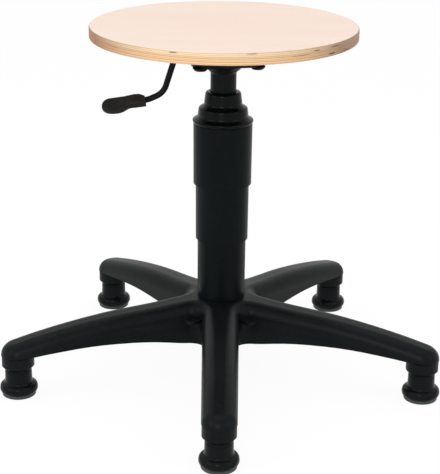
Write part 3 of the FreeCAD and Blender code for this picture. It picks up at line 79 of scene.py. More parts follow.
@dataclass(frozen=True, eq=False)
class Sock:
    """A shader socket that adds Math nodes when it is used in an expression."""

    graph: Graph
    socket: bpy.types.NodeSocket

    def __add__(self, other: Value) -> Sock:
        """Return the sum."""
        return self.graph.math("ADD", self, other)

    def __radd__(self, other: Value) -> Sock:
        """Return the sum."""
        return self.graph.math("ADD", other, self)

    def __sub__(self, other: Value) -> Sock:
        """Return the difference."""
        return self.graph.math("SUBTRACT", self, other)

    def __rsub__(self, other: Value) -> Sock:
        """Return the difference with this socket taken away."""
        return self.graph.math("SUBTRACT", other, self)

    def __mul__(self, other: Value) -> Sock:
        """Return the product."""
        return self.graph.math("MULTIPLY", self, other)

    def __rmul__(self, other: Value) -> Sock:
        """Return the product."""
        return self.graph.math("MULTIPLY", other, self)

    def __truediv__(self, other: Value) -> Sock:
        """Return the quotient."""
        return self.graph.math("DIVIDE", self, other)

    def __pow__(self, power: Value) -> Sock:
        """Return the power."""
        return self.graph.math("POWER", self, power)

    def __abs__(self) -> Sock:
        """Return the size without its sign."""
        return self.graph.math("ABSOLUTE", self)

    def above(self, limit: Value) -> Sock:
        """Return 1 where the value is above the limit and 0 elsewhere."""
        return self.graph.math("GREATER_THAN", self, limit)

    def at_most(self, other: Value) -> Sock:
        """Return the smaller of two values."""
        return self.graph.math("MINIMUM", self, other)

    def at_least(self, other: Value) -> Sock:
        """Return the larger of two values."""
        return self.graph.math("MAXIMUM", self, other)

    def rise(self, low: float, high: float) -> Sock:
        """Return a smooth step from 0 at the low value to 1 at the high one."""
        return self.graph.step(self, low, high)

    def spread(self, low: float, high: float) -> Sock:
        """Return a value of 0 to 1 laid out between two others."""
        return self * (high - low) + low

    def swing(self, amount: float) -> Sock:
        """Return a value of 0 to 1 as one that swings evenly about 0, over the amount."""
        return (self - 0.5) * amount


Value = Union[Sock, float]
Inputs = dict[str, Union[Sock, float, tuple]]


@dataclass(frozen=True)
class Noise:
    """A layer of noise on Object coordinates.

    Its scale is in patches per metre. Detail and roughness are how many finer layers it has and how strong
    they are, and the stretch multiplies the scale along each axis.
    """

    scale: float
    detail: float = 2.0
    roughness: float = 0.5
    stretch: Triple = (1.0, 1.0, 1.0)


class Graph:
    """A node tree and the ways to add nodes to it."""

    def __init__(self, tree: bpy.types.NodeTree) -> None:
        """Start with an empty tree.

        Args:
            tree: The node tree to fill.
        """
        self.tree = tree
        self.tree.nodes.clear()

    def node(
        self,
        kind: str,
        settings: dict[str, object] | None = None,
        inputs: dict[Union[str, int], object] | None = None,
    ) -> bpy.types.Node:
        """Add a node.

        Args:
            kind: The node's type name.
            settings: Its own settings, set first.
            inputs: Values or links of its sockets, by name or number.

        Returns:
            The new node.
        """
        node = self.tree.nodes.new(kind)
        for name, value in (settings or {}).items():
            setattr(node, name, value)
        for key, value in (inputs or {}).items():
            if isinstance(value, Sock):
                self.tree.links.new(value.socket, node.inputs[key])
            else:
                node.inputs[key].default_value = value
        return node

    def out(self, node: bpy.types.Node, name: Union[str, int] = 0) -> Sock:
        """Return one of a node's outputs."""
        return Sock(self, node.outputs[name])

    def math(self, operation: str, *values: Value) -> Sock:
        """Return the result of a Math node."""
        return self.out(self.node("ShaderNodeMath", {"operation": operation}, dict(enumerate(values))))

    def step(self, value: Sock, low: float, high: float) -> Sock:
        """Add a smooth step.

        Args:
            value: What is stepped.
            low: The value up to which the step is 0.
            high: The value from which the step is 1.

        Returns:
            The step, of 0 to 1.
        """
        settings = {"interpolation_type": "SMOOTHSTEP"}
        inputs = {"Value": value, "From Min": low, "From Max": high}
        return self.out(self.node("ShaderNodeMapRange", settings, inputs))

    def mix(self, share: Value, first: Union[Sock, Colour], second: Union[Sock, Colour]) -> Sock:
        """Return a colour between two others.

        Args:
            share: How much of the second colour there is.
            first: The colour at 0.
            second: The colour at 1.

        Returns:
            The mixed colour.
        """
        low, high = (value if isinstance(value, Sock) else (*value, 1.0) for value in (first, second))
        inputs = {MIX_SHARE: share, MIX_FIRST: low, MIX_SECOND: high}
        return self.out(self.node("ShaderNodeMix", {"data_type": "RGBA"}, inputs), MIX_RESULT)

    def object_place(self) -> Sock:
        """Return the place on the piece."""
        return self.out(self.node("ShaderNodeTexCoord"), "Object")

    def axes(self) -> tuple[Sock, Sock, Sock]:
        """Return the three coordinates of the place on the piece."""
        split = self.node("ShaderNodeSeparateXYZ", None, {0: self.object_place()})
        return self.out(split, 0), self.out(split, 1), self.out(split, 2)

    def noise(self, layer: Noise) -> Sock:
        """Add a layer of noise.

        Args:
            layer: The noise's scale, detail, roughness and stretch.

        Returns:
            The noise, of 0 to 1.
        """
        stretched = {"Vector": self.object_place(), "Scale": layer.stretch}
        inputs = {
            "Vector": self.out(self.node("ShaderNodeMapping", None, stretched)),
            "Scale": layer.scale,
            "Detail": layer.detail,
            "Roughness": layer.roughness,
        }
        return self.out(self.node("ShaderNodeTexNoise", None, inputs))

    def bump(self, height: Sock, depth: float, strength: float = 1.0, normal: Sock | None = None) -> Sock:
        """Return a normal bent by a height.

        Args:
            height: Height of 0 to 1.
            depth: What a height of 1 is, in metres.
            strength: How much of the effect shows.
            normal: A normal that is already bent.

        Returns:
            The bent normal.
        """
        inputs = {"Height": height, "Distance": depth, "Strength": strength}
        if normal is not None:
            inputs["Normal"] = normal
        return self.out(self.node("ShaderNodeBump", None, inputs))


# Finishes


def shade(colour: Colour, gain: float, lift: float = 0.0) -> Colour:
    """Return a darker or lighter colour.

    Args:
        colour: The colour to change.
        gain: What it is multiplied by.
        lift: What is added to it.

    Returns:
        The changed colour.
    """
    red, green, blue = (value * gain + lift for value in colour)
    return red, green, blue


class Finish:
    """A finish that makes one material for the pieces that have it."""

    name: str

    def make(self) -> bpy.types.Material:
        """Make the material on the first call and find it again on later ones.

        Returns:
            The material.
        """
        title = f"{self.name}_finish"
        known = bpy.data.materials.get(title)
        if known is not None:
            return known
        material = bpy.data.materials.new(title)
        material.use_nodes = True
        graph = Graph(material.node_tree)
        shader = graph.node("ShaderNodeBsdfPrincipled", None, self.inputs(graph))
        graph.node("ShaderNodeOutputMaterial", None, {"Surface": graph.out(shader)})
        return material

    def inputs(self, graph: Graph) -> Inputs:
        """Return the shader's inputs; each finish gives its own."""
        raise NotImplementedError


@dataclass(frozen=True)
class MouldedPlastic(Finish):
    """Moulded plastic with a spark-eroded grain and faint flow marks; sizes and depths are in metres."""

    name: str
    colour: Colour
    roughness: float
    grain_size: float
    grain_depth: float
    mottle: float
    specular: float
    flow: Noise = Noise(16.0, 3.0, 0.55, (1.0, 1.0, 0.5))
    patch: Noise = Noise(140.0, 2.0, 0.6)
    flow_share: float = 0.6
    worn_span: Span = (0.3, 0.72)
    worn_lift: float = 0.0005
    patch_gloss: float = 0.12
    patch_depth: float = 0.00005
    patch_strength: float = 0.4
    grain_fineness: float = 0.65
    grain_gloss: float = 0.08
    grain_strength: float = 0.6

    def inputs(self, graph: Graph) -> Inputs:
        """Put grain in the normal and flow marks in colour and gloss.

        Args:
            graph: The material's graph.

        Returns:
            The shader's inputs.
        """
        flow = graph.noise(self.flow)
        patch = graph.noise(self.patch)
        grain = graph.noise(Noise(1.0 / self.grain_size, roughness=self.grain_fineness))
        worn = shade(self.colour, 1.0 + self.mottle, self.worn_lift)
        tone = (flow * self.flow_share + patch * (1.0 - self.flow_share)).rise(*self.worn_span)
        uneven = graph.bump(patch, self.patch_depth, self.patch_strength)
        return {
            "Base Color": graph.mix(tone, self.colour, worn),
            "Roughness": self.roughness + patch.swing(self.patch_gloss) + grain.swing(self.grain_gloss),
            "Specular IOR Level": self.specular,
            "Normal": graph.bump(grain, self.grain_depth, self.grain_strength, uneven),
        }


@dataclass(frozen=True)
class CoatedSteel(Finish):
    """Coated steel with a fine orange peel; its size and depth are in metres."""

    name: str
    colour: Colour
    roughness: float
    peel_size: float
    peel_depth: float
    specular: float
    peel_detail: float = 1.5
    peel_strength: float = 0.7
    rub: Noise = Noise(35.0, 4.0, 0.6)
    rub_span: Span = (0.5, 0.75)
    rub_gain: float = 1.5
    rub_lift: float = 0.0006
    rub_gloss: float = 0.18

    def inputs(self, graph: Graph) -> Inputs:
        """Put orange peel in the normal and rubbed patches in colour and gloss.

        Args:
            graph: The material's graph.

        Returns:
            The shader's inputs.
        """
        peel = graph.noise(Noise(1.0 / self.peel_size, self.peel_detail))
        rub = graph.noise(self.rub)
        light = shade(self.colour, self.rub_gain, self.rub_lift)
        return {
            "Base Color": graph.mix(rub.rise(*self.rub_span), self.colour, light),
            "Roughness": self.roughness + rub.swing(self.rub_gloss),
            "Specular IOR Level": self.specular,
            "Normal": graph.bump(peel, self.peel_depth, self.peel_strength),
        }


class Lay(Enum):
    """Direction of the machining marks on a metal, as marks per metre along each axis."""

    TURNED = (6.0, 6.0, 900.0)
    DRAWN = (700.0, 700.0, 10.0)
    TUMBLED = (260.0, 260.0, 260.0)


@dataclass(frozen=True)
class BareMetal(Finish):
    """Metal with machining marks and a slightly uneven polish."""

    name: str
    colour: Colour
    lay: Lay
    roughness: float
    mark_detail: float = 3.0
    mark_fineness: float = 0.6
    mark_depth: float = 0.00001
    mark_gloss: float = 0.16
    stain: Noise = Noise(60.0, 4.0, 0.6)
    stain_span: Span = (0.45, 0.8)
    stain_gain: float = 0.72
    stain_gloss: float = 0.12

    def inputs(self, graph: Graph) -> Inputs:
        """Put machining marks in the normal and stains in colour and gloss.

        Args:
            graph: The material's graph.

        Returns:
            The shader's inputs.
        """
        marks = graph.noise(Noise(1.0, self.mark_detail, self.mark_fineness, self.lay.value))
        stain = graph.noise(self.stain)
        dull = shade(self.colour, self.stain_gain)
        return {
            "Base Color": graph.mix(stain.rise(*self.stain_span), self.colour, dull),
            "Metallic": 1.0,
            "Roughness": self.roughness + marks.swing(self.mark_gloss) + stain.swing(self.stain_gloss),
            "Normal": graph.bump(marks, self.mark_depth),
        }


@dataclass(frozen=True)
class Rubber(Finish):
    """Matt rubber or soft plastic with dust in its pores."""

    name: str
    colour: Colour
    dust: Colour
    roughness: float
    specular: float = 0.35
    pores: Noise = Noise(1500.0, 2.0, 0.6)
    pore_depth: float = 0.00007
    pore_strength: float = 0.8
    cloud: Noise = Noise(45.0, 4.0, 0.65)
    cloud_span: Span = (0.4, 0.8)
    cloud_gloss: float = 0.2
    dust_share: float = 0.6

    def inputs(self, graph: Graph) -> Inputs:
        """Put pores in the normal and dust in the colour.

        Args:
            graph: The material's graph.

        Returns:
            The shader's inputs.
        """
        pores = graph.noise(self.pores)
        cloud = graph.noise(self.cloud)
        dusty = cloud.rise(*self.cloud_span) * self.dust_share
        return {
            "Base Color": graph.mix(dusty, self.colour, self.dust),
            "Roughness": self.roughness + cloud.swing(self.cloud_gloss),
            "Specular IOR Level": self.specular,
            "Normal": graph.bump(pores, self.pore_depth, self.pore_strength),
        }


@dataclass(frozen=True)
class Knot:
    """A dark fleck in the seat's edge.

    Its turn about the column is in degrees. Its height above the underside and half sizes are in millimetres.
    """

    turn: float
    height: float
    half_width: float
    half_height: float
    strength: float = 0.85


@dataclass(frozen=True)
class BeechPly(Finish):
    """Lacquered beech plywood: quiet veneer on the faces, plies, glue lines and knots round the edge.

    The board's underside, top and radius are in metres. Heights above the underside, the rim's widths and the
    glue's half thickness are in millimetres, and each glue line is a height and a strength.
    """

    name: str
    underside: float
    top: float
    radius: float
    veneer: Colour = (0.975, 0.785, 0.66)
    veneer_warm: Colour = (0.96, 0.745, 0.63)
    figure: Noise = Noise(7.0, 3.0, 0.55, (0.7, 3.0, 1.0))
    figure_span: Span = (0.35, 0.7)
    rays: Noise = Noise(150.0, 3.0, 0.6, (1.0, 9.0, 1.0))
    ray_span: Span = (0.55, 0.8)
    ray_share: float = 0.16
    pores: Noise = Noise(420.0, 2.0, 0.6, (1.0, 8.0, 1.0))
    pore_depth: float = 0.00004
    pore_strength: float = 0.35
    dark_gain: float = 0.86
    roughness: float = 0.42
    ray_gloss: float = 0.1
    edge_gloss: float = 0.12
    specular: float = 0.35
    rim_inside: Span = (2.6, 1.7)
    rim_below: Span = (0.75, 0.35)
    face_ply: Colour = (0.97, 0.79, 0.53)
    face_ply_span: Span = (10.6, 11.6)
    long_ply: Colour = (0.97, 0.66, 0.385)
    cross_ply: Colour = (0.93, 0.56, 0.3)
    ply_height: float = 2.1
    ply_phase: float = 0.3
    ply_blend: float = 0.25
    along: Noise = Noise(9.0, 3.0, 0.6, (1.0, 1.0, 22.0))
    along_share: float = 0.3
    along_swing: float = 0.7
    streak: Noise = Noise(60.0, 3.0, 0.6, (1.0, 1.0, 14.0))
    end_warm: Colour = (0.27, 0.1, 0.045)
    end_grey: Colour = (0.24, 0.16, 0.11)
    end_power: float = 3.4
    end_gain: float = 1.28
    end_slant: float = 0.16
    end_streak: float = 0.25
    end_most: float = 0.8
    glue: Colour = (0.36, 0.17, 0.07)
    glue_lines: tuple[Span, ...] = (
        (2.2, 0.45), (4.4, 1.0), (6.4, 0.45), (8.4, 1.0), (10.5, 0.5), (12.6, 0.5), (14.7, 0.75),
    )
    glue_half: float = 0.38
    glue_core: float = 0.5
    glue_faint: float = 0.45
    waver: Noise = Noise(22.0)
    waver_height: float = 0.35
    knot_colour: Colour = (0.1, 0.05, 0.03)
    knot_core: float = 0.35
    fray: Noise = Noise(320.0, 3.0, 0.7)
    fray_swing: float = 0.9
    knots: tuple[Knot, ...] = (
        Knot(-110.2, 13.6, 6.5, 0.8),
        Knot(-79.0, 14.2, 8.0, 0.6, 0.7),
        Knot(-50.0, 11.6, 7.0, 0.8, 0.8),
        Knot(-38.5, 12.3, 12.0, 1.0, 0.8),
        Knot(-40.8, 4.2, 8.5, 1.1, 1.0),
        Knot(-30.0, 3.6, 13.0, 0.7, 0.8),
        Knot(-58.0, 8.0, 16.0, 0.5, 0.7),
        Knot(-141.0, 8.4, 14.0, 0.5, 0.6),
        Knot(42.0, 6.2, 9.0, 0.7),
        Knot(118.0, 10.2, 7.0, 0.8),
        Knot(160.0, 4.8, 10.0, 0.8),
    )

    def _plies(self, graph: Graph, level: Sock) -> Sock:
        """Colour the plies, which lie along and across in turn below the face ply.

        Args:
            graph: The material's graph.
            level: Height above the underside, in millimetres.

        Returns:
            The plies' colour.
        """
        wave = graph.math("SINE", level * (math.pi / self.ply_height) - self.ply_phase)
        colour = graph.mix(wave.rise(-self.ply_blend, self.ply_blend), self.long_ply, self.cross_ply)
        colour = graph.mix(level.rise(*self.face_ply_span), colour, self.face_ply)
        grain = graph.noise(self.along).swing(self.along_swing) + self.along_share
        return graph.mix(grain, colour, shade(self.long_ply, self.dark_gain))

    def _ends(self, graph: Graph, x: Sock, streak: Sock, plies: Sock) -> Sock:
        """Darken the edge at the left and right, where it cuts the face grain's ends.

        Args:
            graph: The material's graph.
            x: Place across, in metres.
            streak: Fine streaks, of 0 to 1.
            plies: The plies' colour.

        Returns:
            The colour with its dark ends.
        """
        side = x / self.radius
        end_grain = graph.mix(side * 0.5 + 0.5, self.end_warm, self.end_grey)
        ends = (abs(side) ** self.end_power) * self.end_gain + side * self.end_slant
        ends = ends + streak.swing(self.end_streak)
        return graph.mix(ends.at_least(0.0).at_most(self.end_most), plies, end_grain)

    def _glue(self, graph: Graph, level: Sock) -> Sock:
        """Make the mask of the glue lines between the plies.

        Args:
            graph: The material's graph.
            level: Height above the underside, in millimetres.

        Returns:
            The mask.
        """
        mask: Sock | None = None
        waver = graph.noise(self.waver).swing(self.waver_height)
        for height, strength in self.glue_lines:
            distance = abs(level - (height + waver)) / self.glue_half
            line = (1.0 - distance.rise(self.glue_core, 1.0)) * strength
            mask = line if mask is None else mask.at_least(line)
        return mask

    def _knots(self, graph: Graph, x: Sock, y: Sock, level: Sock) -> Sock:
        """Make the mask of the dark flecks round the edge.

        Args:
            graph: The material's graph.
            x: Place across, in metres.
            y: Place in depth, in metres.
            level: Height above the underside, in millimetres.

        Returns:
            The mask.
        """
        mask: Sock | None = None
        fray = graph.noise(self.fray).swing(self.fray_swing)
        for knot in self.knots:
            turn = math.radians(knot.turn)
            ahead = x * math.cos(turn) + y * math.sin(turn)
            along = (y * math.cos(turn) - x * math.sin(turn)) / (knot.half_width * MM)
            up = (level - knot.height) / knot.half_height
            spot = 1.0 - (along * along + up * up + fray).rise(self.knot_core, 1.0)
            spot = spot * ahead.above(0.0) * knot.strength
            mask = spot if mask is None else mask.at_least(spot)
        return mask

    def _edge(self, graph: Graph, x: Sock, y: Sock, level: Sock) -> Sock:
        """Colour the edge that cuts the plies.

        Args:
            graph: The material's graph.
            x: Place across, in metres.
            y: Place in depth, in metres.
            level: Height above the underside, in millimetres.

        Returns:
            The edge's colour.
        """
        streak = graph.noise(self.streak)
        colour = self._ends(graph, x, streak, self._plies(graph, level))
        colour = graph.mix(self._glue(graph, level) * streak.spread(self.glue_faint, 1.0), colour, self.glue)
        return graph.mix(self._knots(graph, x, y, level), colour, self.knot_colour)

    def _face(self, graph: Graph, rays: Sock) -> Sock:
        """Colour the veneer of the board's faces.

        Args:
            graph: The material's graph.
            rays: The wood's short rays, of 0 to 1.

        Returns:
            The veneer's colour.
        """
        figure = graph.noise(self.figure)
        warm = graph.mix(figure.rise(*self.figure_span), self.veneer, self.veneer_warm)
        dark = shade(self.veneer_warm, self.dark_gain)
        return graph.mix(rays.rise(*self.ray_span) * self.ray_share, warm, dark)

    def _rim(self, graph: Graph, x: Sock, y: Sock, level: Sock) -> Sock:
        """Make the mask of the edge, which stops just below the top face's rounded rim.

        Args:
            graph: The material's graph.
            x: Place across, in metres.
            y: Place in depth, in metres.
            level: Height above the underside, in millimetres.

        Returns:
            The mask.
        """
        across = graph.math("SQRT", x * x + y * y)
        thickness = (self.top - self.underside) / MM
        outside = across.rise(*(self.radius - inside * MM for inside in self.rim_inside))
        return outside * (1.0 - level.rise(*(thickness - below for below in self.rim_below)))

    def inputs(self, graph: Graph) -> Inputs:
        """Put veneer on the faces and plies on the edge.

        Args:
            graph: The material's graph.

        Returns:
            The shader's inputs.
        """
        x, y, z = graph.axes()
        level = (z - self.underside) / MM
        rim = self._rim(graph, x, y, level)
        rays = graph.noise(self.rays)
        pores = graph.noise(self.pores)
        return {
            "Base Color": graph.mix(rim, self._face(graph, rays), self._edge(graph, x, y, level)),
            "Roughness": self.roughness + rays.swing(self.ray_gloss) + rim * self.edge_gloss,
            "Specular IOR Level": self.specular,
            "Normal": graph.bump(pores, self.pore_depth, self.pore_strength),
        }


FINISHES: dict[str, Finish] = {
    "base": MouldedPlastic(
        "base_plastic", (0.0036, 0.0048, 0.0052),
        roughness=0.36, grain_size=0.0012, grain_depth=0.0001, mottle=0.6, specular=0.08,
    ),
    "cover": MouldedPlastic(
        "cover_plastic", (0.0028, 0.0044, 0.0046),
        roughness=0.34, grain_size=0.0009, grain_depth=0.00004, mottle=0.4, specular=0.06,
    ),
    "cap": MouldedPlastic(
        "cap_plastic", (0.0016, 0.0026, 0.0028),
        roughness=0.22, grain_size=0.0009, grain_depth=0.00003, mottle=0.3, specular=0.09,
    ),
    "grip": MouldedPlastic(
        "grip_plastic", (0.0125, 0.013, 0.0115),
        roughness=0.38, grain_size=0.0008, grain_depth=0.00006, mottle=0.6, specular=0.09,
    ),
    "glide": MouldedPlastic(
        "glide_plastic", (0.0036, 0.005, 0.0054),
        roughness=0.24, grain_size=0.0009, grain_depth=0.00004, mottle=0.4, specular=0.08,
    ),
    "acetal": MouldedPlastic(
        "natural_acetal", (0.72, 0.71, 0.67),
        roughness=0.35, grain_size=0.0008, grain_depth=0.00003, mottle=0.05, specular=0.4,
    ),
    "steel": CoatedSteel(
        "black_coated_steel", (0.0036, 0.0044, 0.0048),
        roughness=0.34, peel_size=0.0018, peel_depth=0.00005, specular=0.09,
    ),
    "tube": CoatedSteel(
        "black_tube_coat", (0.0014, 0.0024, 0.0026),
        roughness=0.3, peel_size=0.0025, peel_depth=0.00002, specular=0.04,
    ),
    "sole": Rubber("glide_sole", (0.045, 0.053, 0.048), dust=(0.1, 0.108, 0.1), roughness=0.65),
    "rubber": Rubber("black_rubber", (0.012, 0.012, 0.012), dust=(0.04, 0.038, 0.036), roughness=0.72),
    "zinc": BareMetal("zinc_plate", (0.6, 0.6, 0.62), Lay.TUMBLED, roughness=0.32),
    "bearing": BareMetal("bearing_steel", (0.56, 0.57, 0.59), Lay.TURNED, roughness=0.2),
    "chrome": BareMetal("hard_chrome", (0.72, 0.73, 0.75), Lay.DRAWN, roughness=0.12),
    "light": BareMetal("turned_aluminium", (0.7, 0.7, 0.71), Lay.TURNED, roughness=0.34),
    "brass": BareMetal("turned_brass", (0.75, 0.55, 0.26), Lay.TURNED, roughness=0.3),
    "oxide": BareMetal("black_oxide", (0.06, 0.06, 0.064), Lay.TUMBLED, roughness=0.38),
}


# Modelling by hand


def turned(angle: float, axis: str = "Z") -> Matrix:
    """Return a turn about an axis, by an angle in degrees."""
    return Matrix.Rotation(math.radians(angle), 4, axis)


class Bench:
    """The few moves that every new piece is modelled with."""

    @staticmethod
    def clear() -> None:
        """Deselect every object."""
        bpy.ops.object.select_all(action="DESELECT")

    @staticmethod
    def pick(test: Callable[[Vector], bool]) -> None:
        """Select the faces of the mesh in edit mode that pass a test.

        Args:
            test: Says from a face's normal whether it is wanted.
        """
        mesh = bmesh.from_edit_mesh(bpy.context.object.data)
        bpy.ops.mesh.select_mode(type="FACE")
        for face in mesh.faces:
            face.select_set(test(face.normal))
        bmesh.update_edit_mesh(bpy.context.object.data)

    @staticmethod
    def pick_corners(test: Callable[[Vector], bool]) -> None:
        """Select the corners of the mesh in edit mode that pass a test.

        Args:
            test: Says from a corner's place whether it is wanted.
        """
        mesh = bmesh.from_edit_mesh(bpy.context.object.data)
        bpy.ops.mesh.select_mode(type="VERT")
        bpy.ops.mesh.select_all(action="DESELECT")
        for corner in mesh.verts:
            corner.select_set(test(corner.co))
        mesh.select_flush_mode()
        bmesh.update_edit_mesh(bpy.context.object.data)

    @staticmethod
    def inset_and_move(width: float, move: float) -> None:
        """Inset the selected face and carry its middle up or down.

        Args:
            width: How wide a border the inset leaves.
            move: How far the middle goes up.
        """
        bpy.ops.mesh.inset(thickness=width)
        bpy.ops.mesh.extrude_region_move(TRANSFORM_OT_translate={"value": (0.0, 0.0, move)})

    @staticmethod
    def settle(place: Matrix) -> bpy.types.Object:
        """Put the active piece in place, with the place in its mesh.

        Args:
            place: Where the piece's own frame goes.

        Returns:
            The piece, at the origin, unturned and unscaled.
        """
        piece = bpy.context.object
        Bench.clear()
        piece.select_set(True)
        bpy.ops.object.transform_apply(location=True, rotation=True, scale=True)
        piece.matrix_world = place
        bpy.ops.object.transform_apply(location=True, rotation=True, scale=True)
        bpy.ops.object.shade_smooth_by_angle(angle=math.radians(SMOOTH_ANGLE))
        return piece

    @staticmethod
    def copy_turned(piece: bpy.types.Object, angle: float) -> bpy.types.Object:
        """Copy a piece, with a mesh of its own, and turn the copy about the column's axis.

        Args:
            piece: The piece to copy.
            angle: How far the copy is turned, in degrees.

        Returns:
            The copy.
        """
        copy = piece.copy()
        copy.data = piece.data.copy()
        bpy.context.scene.collection.objects.link(copy)
        copy.data.transform(turned(angle))
        return copy

    @staticmethod
    def join(pieces: list[bpy.types.Object], name: str) -> bpy.types.Object:
        """Join pieces into one.

        Args:
            pieces: The pieces to join.
            name: The name of the joined piece.

        Returns:
            The joined piece.
        """
        Bench.clear()
        for piece in pieces:
            piece.select_set(True)
        bpy.context.view_layer.objects.active = pieces[0]
        bpy.ops.object.join()
        joined = bpy.context.object
        joined.name = name
        joined.data.name = name
        return joined


def dress(node: str, finish: Finish) -> None:
    """Give a node of the frame its finish.

    Args:
        node: The node's name.
        finish: The finish that it gets.
    """
    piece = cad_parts[node]
    piece.data.materials.clear()
    piece.data.materials.append(finish.make())
    LOG.info("%s dressed in %s", node, finish.name)


def add_piece(piece: bpy.types.Object, body: str, finish: Finish) -> None:
    """Give a new piece its finish and body.

    Args:
        piece: The new piece.
        body: The body that it rides on.
        finish: The finish that it gets.
    """
    piece.data.materials.clear()
    piece.data.materials.append(finish.make())
    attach(piece, body)
    LOG.info("%s rides on %s, %d faces", piece.name, body, len(piece.data.polygons))


# Sub-assemblies


@dataclass
class Assembly:
    """A sub-assembly with the finish of each of its nodes whose shape in the frame is kept."""

    nodes: Finishing

    def build(self) -> None:
        """Dress the nodes."""
        for node, finish in self.nodes:
            dress(node, FINISHES[finish])


# The pieces of each glide, with their finishes
GLIDE_PIECES: Finishing = (("bell", "glide"), ("pin", "zinc"), ("ring", "zinc"), ("sole", "sole"))


@dataclass
class StarBase(Assembly):
    """Moulded base on five glides, with a small dished lug in each corner between its legs.

    A lug is a stadium in plan: a round whose inner half reaches towards the column.
    """

    nodes: Finishing = (
        ("star_base", "base"),
        *((f"glide_{number}_{kind}", finish) for number in GLIDE_NUMBERS for kind, finish in GLIDE_PIECES),
    )
    lug_distance: float = 66.0 * MM
    lug_radius: float = 9.0 * MM
    lug_reach: float = 8.0 * MM
    lug_height: float = 93.5 * MM
    lug_depth: float = 3.0 * MM
    lug_sides: int = 40
    middle_band: float = 0.1 * MM
    rim_width: float = 1.6 * MM
    dish_depth: float = 0.9 * MM
    step_width: float = 1.2 * MM
    step_depth: float = 0.4 * MM
    foot_inset: float = 1.0 * MM
    foot_depth: float = 0.8 * MM
    bevel_width: float = 0.45 * MM
    bevel_segments: int = 2
    bevel_angle: float = 40.0

    def build_lug(self) -> bpy.types.Object:
        """Model the lug in the corner right of the front leg.

        Returns:
            The lug.
        """
        Bench.clear()
        bpy.ops.mesh.primitive_cylinder_add(
            vertices=self.lug_sides, radius=self.lug_radius, depth=self.lug_depth
        )
        bpy.ops.object.mode_set(mode="EDIT")
        Bench.pick_corners(lambda corner: corner.x < -self.middle_band)
        bpy.ops.transform.translate(value=(-self.lug_reach, 0.0, 0.0))
        Bench.pick(lambda normal: normal.z > FACING)
        Bench.inset_and_move(self.rim_width, -self.dish_depth)
        Bench.inset_and_move(self.step_width, -self.step_depth)
        Bench.pick(lambda normal: normal.z < -FACING)
        Bench.inset_and_move(self.foot_inset, -self.foot_depth)
        bpy.ops.object.mode_set(mode="OBJECT")
        bevel = bpy.context.object.modifiers.new("edge", "BEVEL")
        bevel.width = self.bevel_width
        bevel.segments = self.bevel_segments
        bevel.angle_limit = math.radians(self.bevel_angle)
        bpy.ops.object.modifier_apply(modifier=bevel.name)
        corner = turned(FRONT_LEG_TURN + LEG_STEP / 2.0)
        return Bench.settle(corner @ Matrix.Translation((self.lug_distance, 0.0, self.lug_height)))

    def build(self) -> None:
        """Dress the base and the glides, and put the lugs on the base."""
        super().build()
        lug = self.build_lug()
        lugs = [lug] + [Bench.copy_turned(lug, LEG_STEP * number) for number in range(1, LEG_COUNT)]
        add_piece(Bench.join(lugs, "base_corner_lugs"), "base", FINISHES["base"])


@dataclass
class GasSpring(Assembly):
    """Gas spring: stand tube, thrust bearing, piston rod, pressure cylinder and valve."""

    nodes: Finishing = (
        ("stand_tube", "tube"),
        ("guide_bush", "acetal"),
        ("thrust_race_lower", "bearing"),
        ("thrust_race_upper", "bearing"),
        ("thrust_balls", "bearing"),
        ("ball_cage", "acetal"),
        ("rod_washer", "zinc"),
        ("rod_clip", "zinc"),
        ("rubber_bumper", "rubber"),
        ("piston_rod", "chrome"),
        ("piston", "light"),
        ("piston_ring", "rubber"),
        ("gas_cylinder", "tube"),
        ("rod_guide", "acetal"),
        ("rod_seal", "rubber"),
        ("valve_body", "light"),
        ("release_button", "zinc"),
    )


@dataclass
class ColumnCover(Assembly):
    """Telescopic cover: three sleeves and the cap that holds the inner one."""

    nodes: Finishing = (
        ("lower_sleeve", "cover"),
        ("middle_sleeve", "cover"),
        ("upper_sleeve", "cover"),
        ("cover_cap", "cap"),
    )


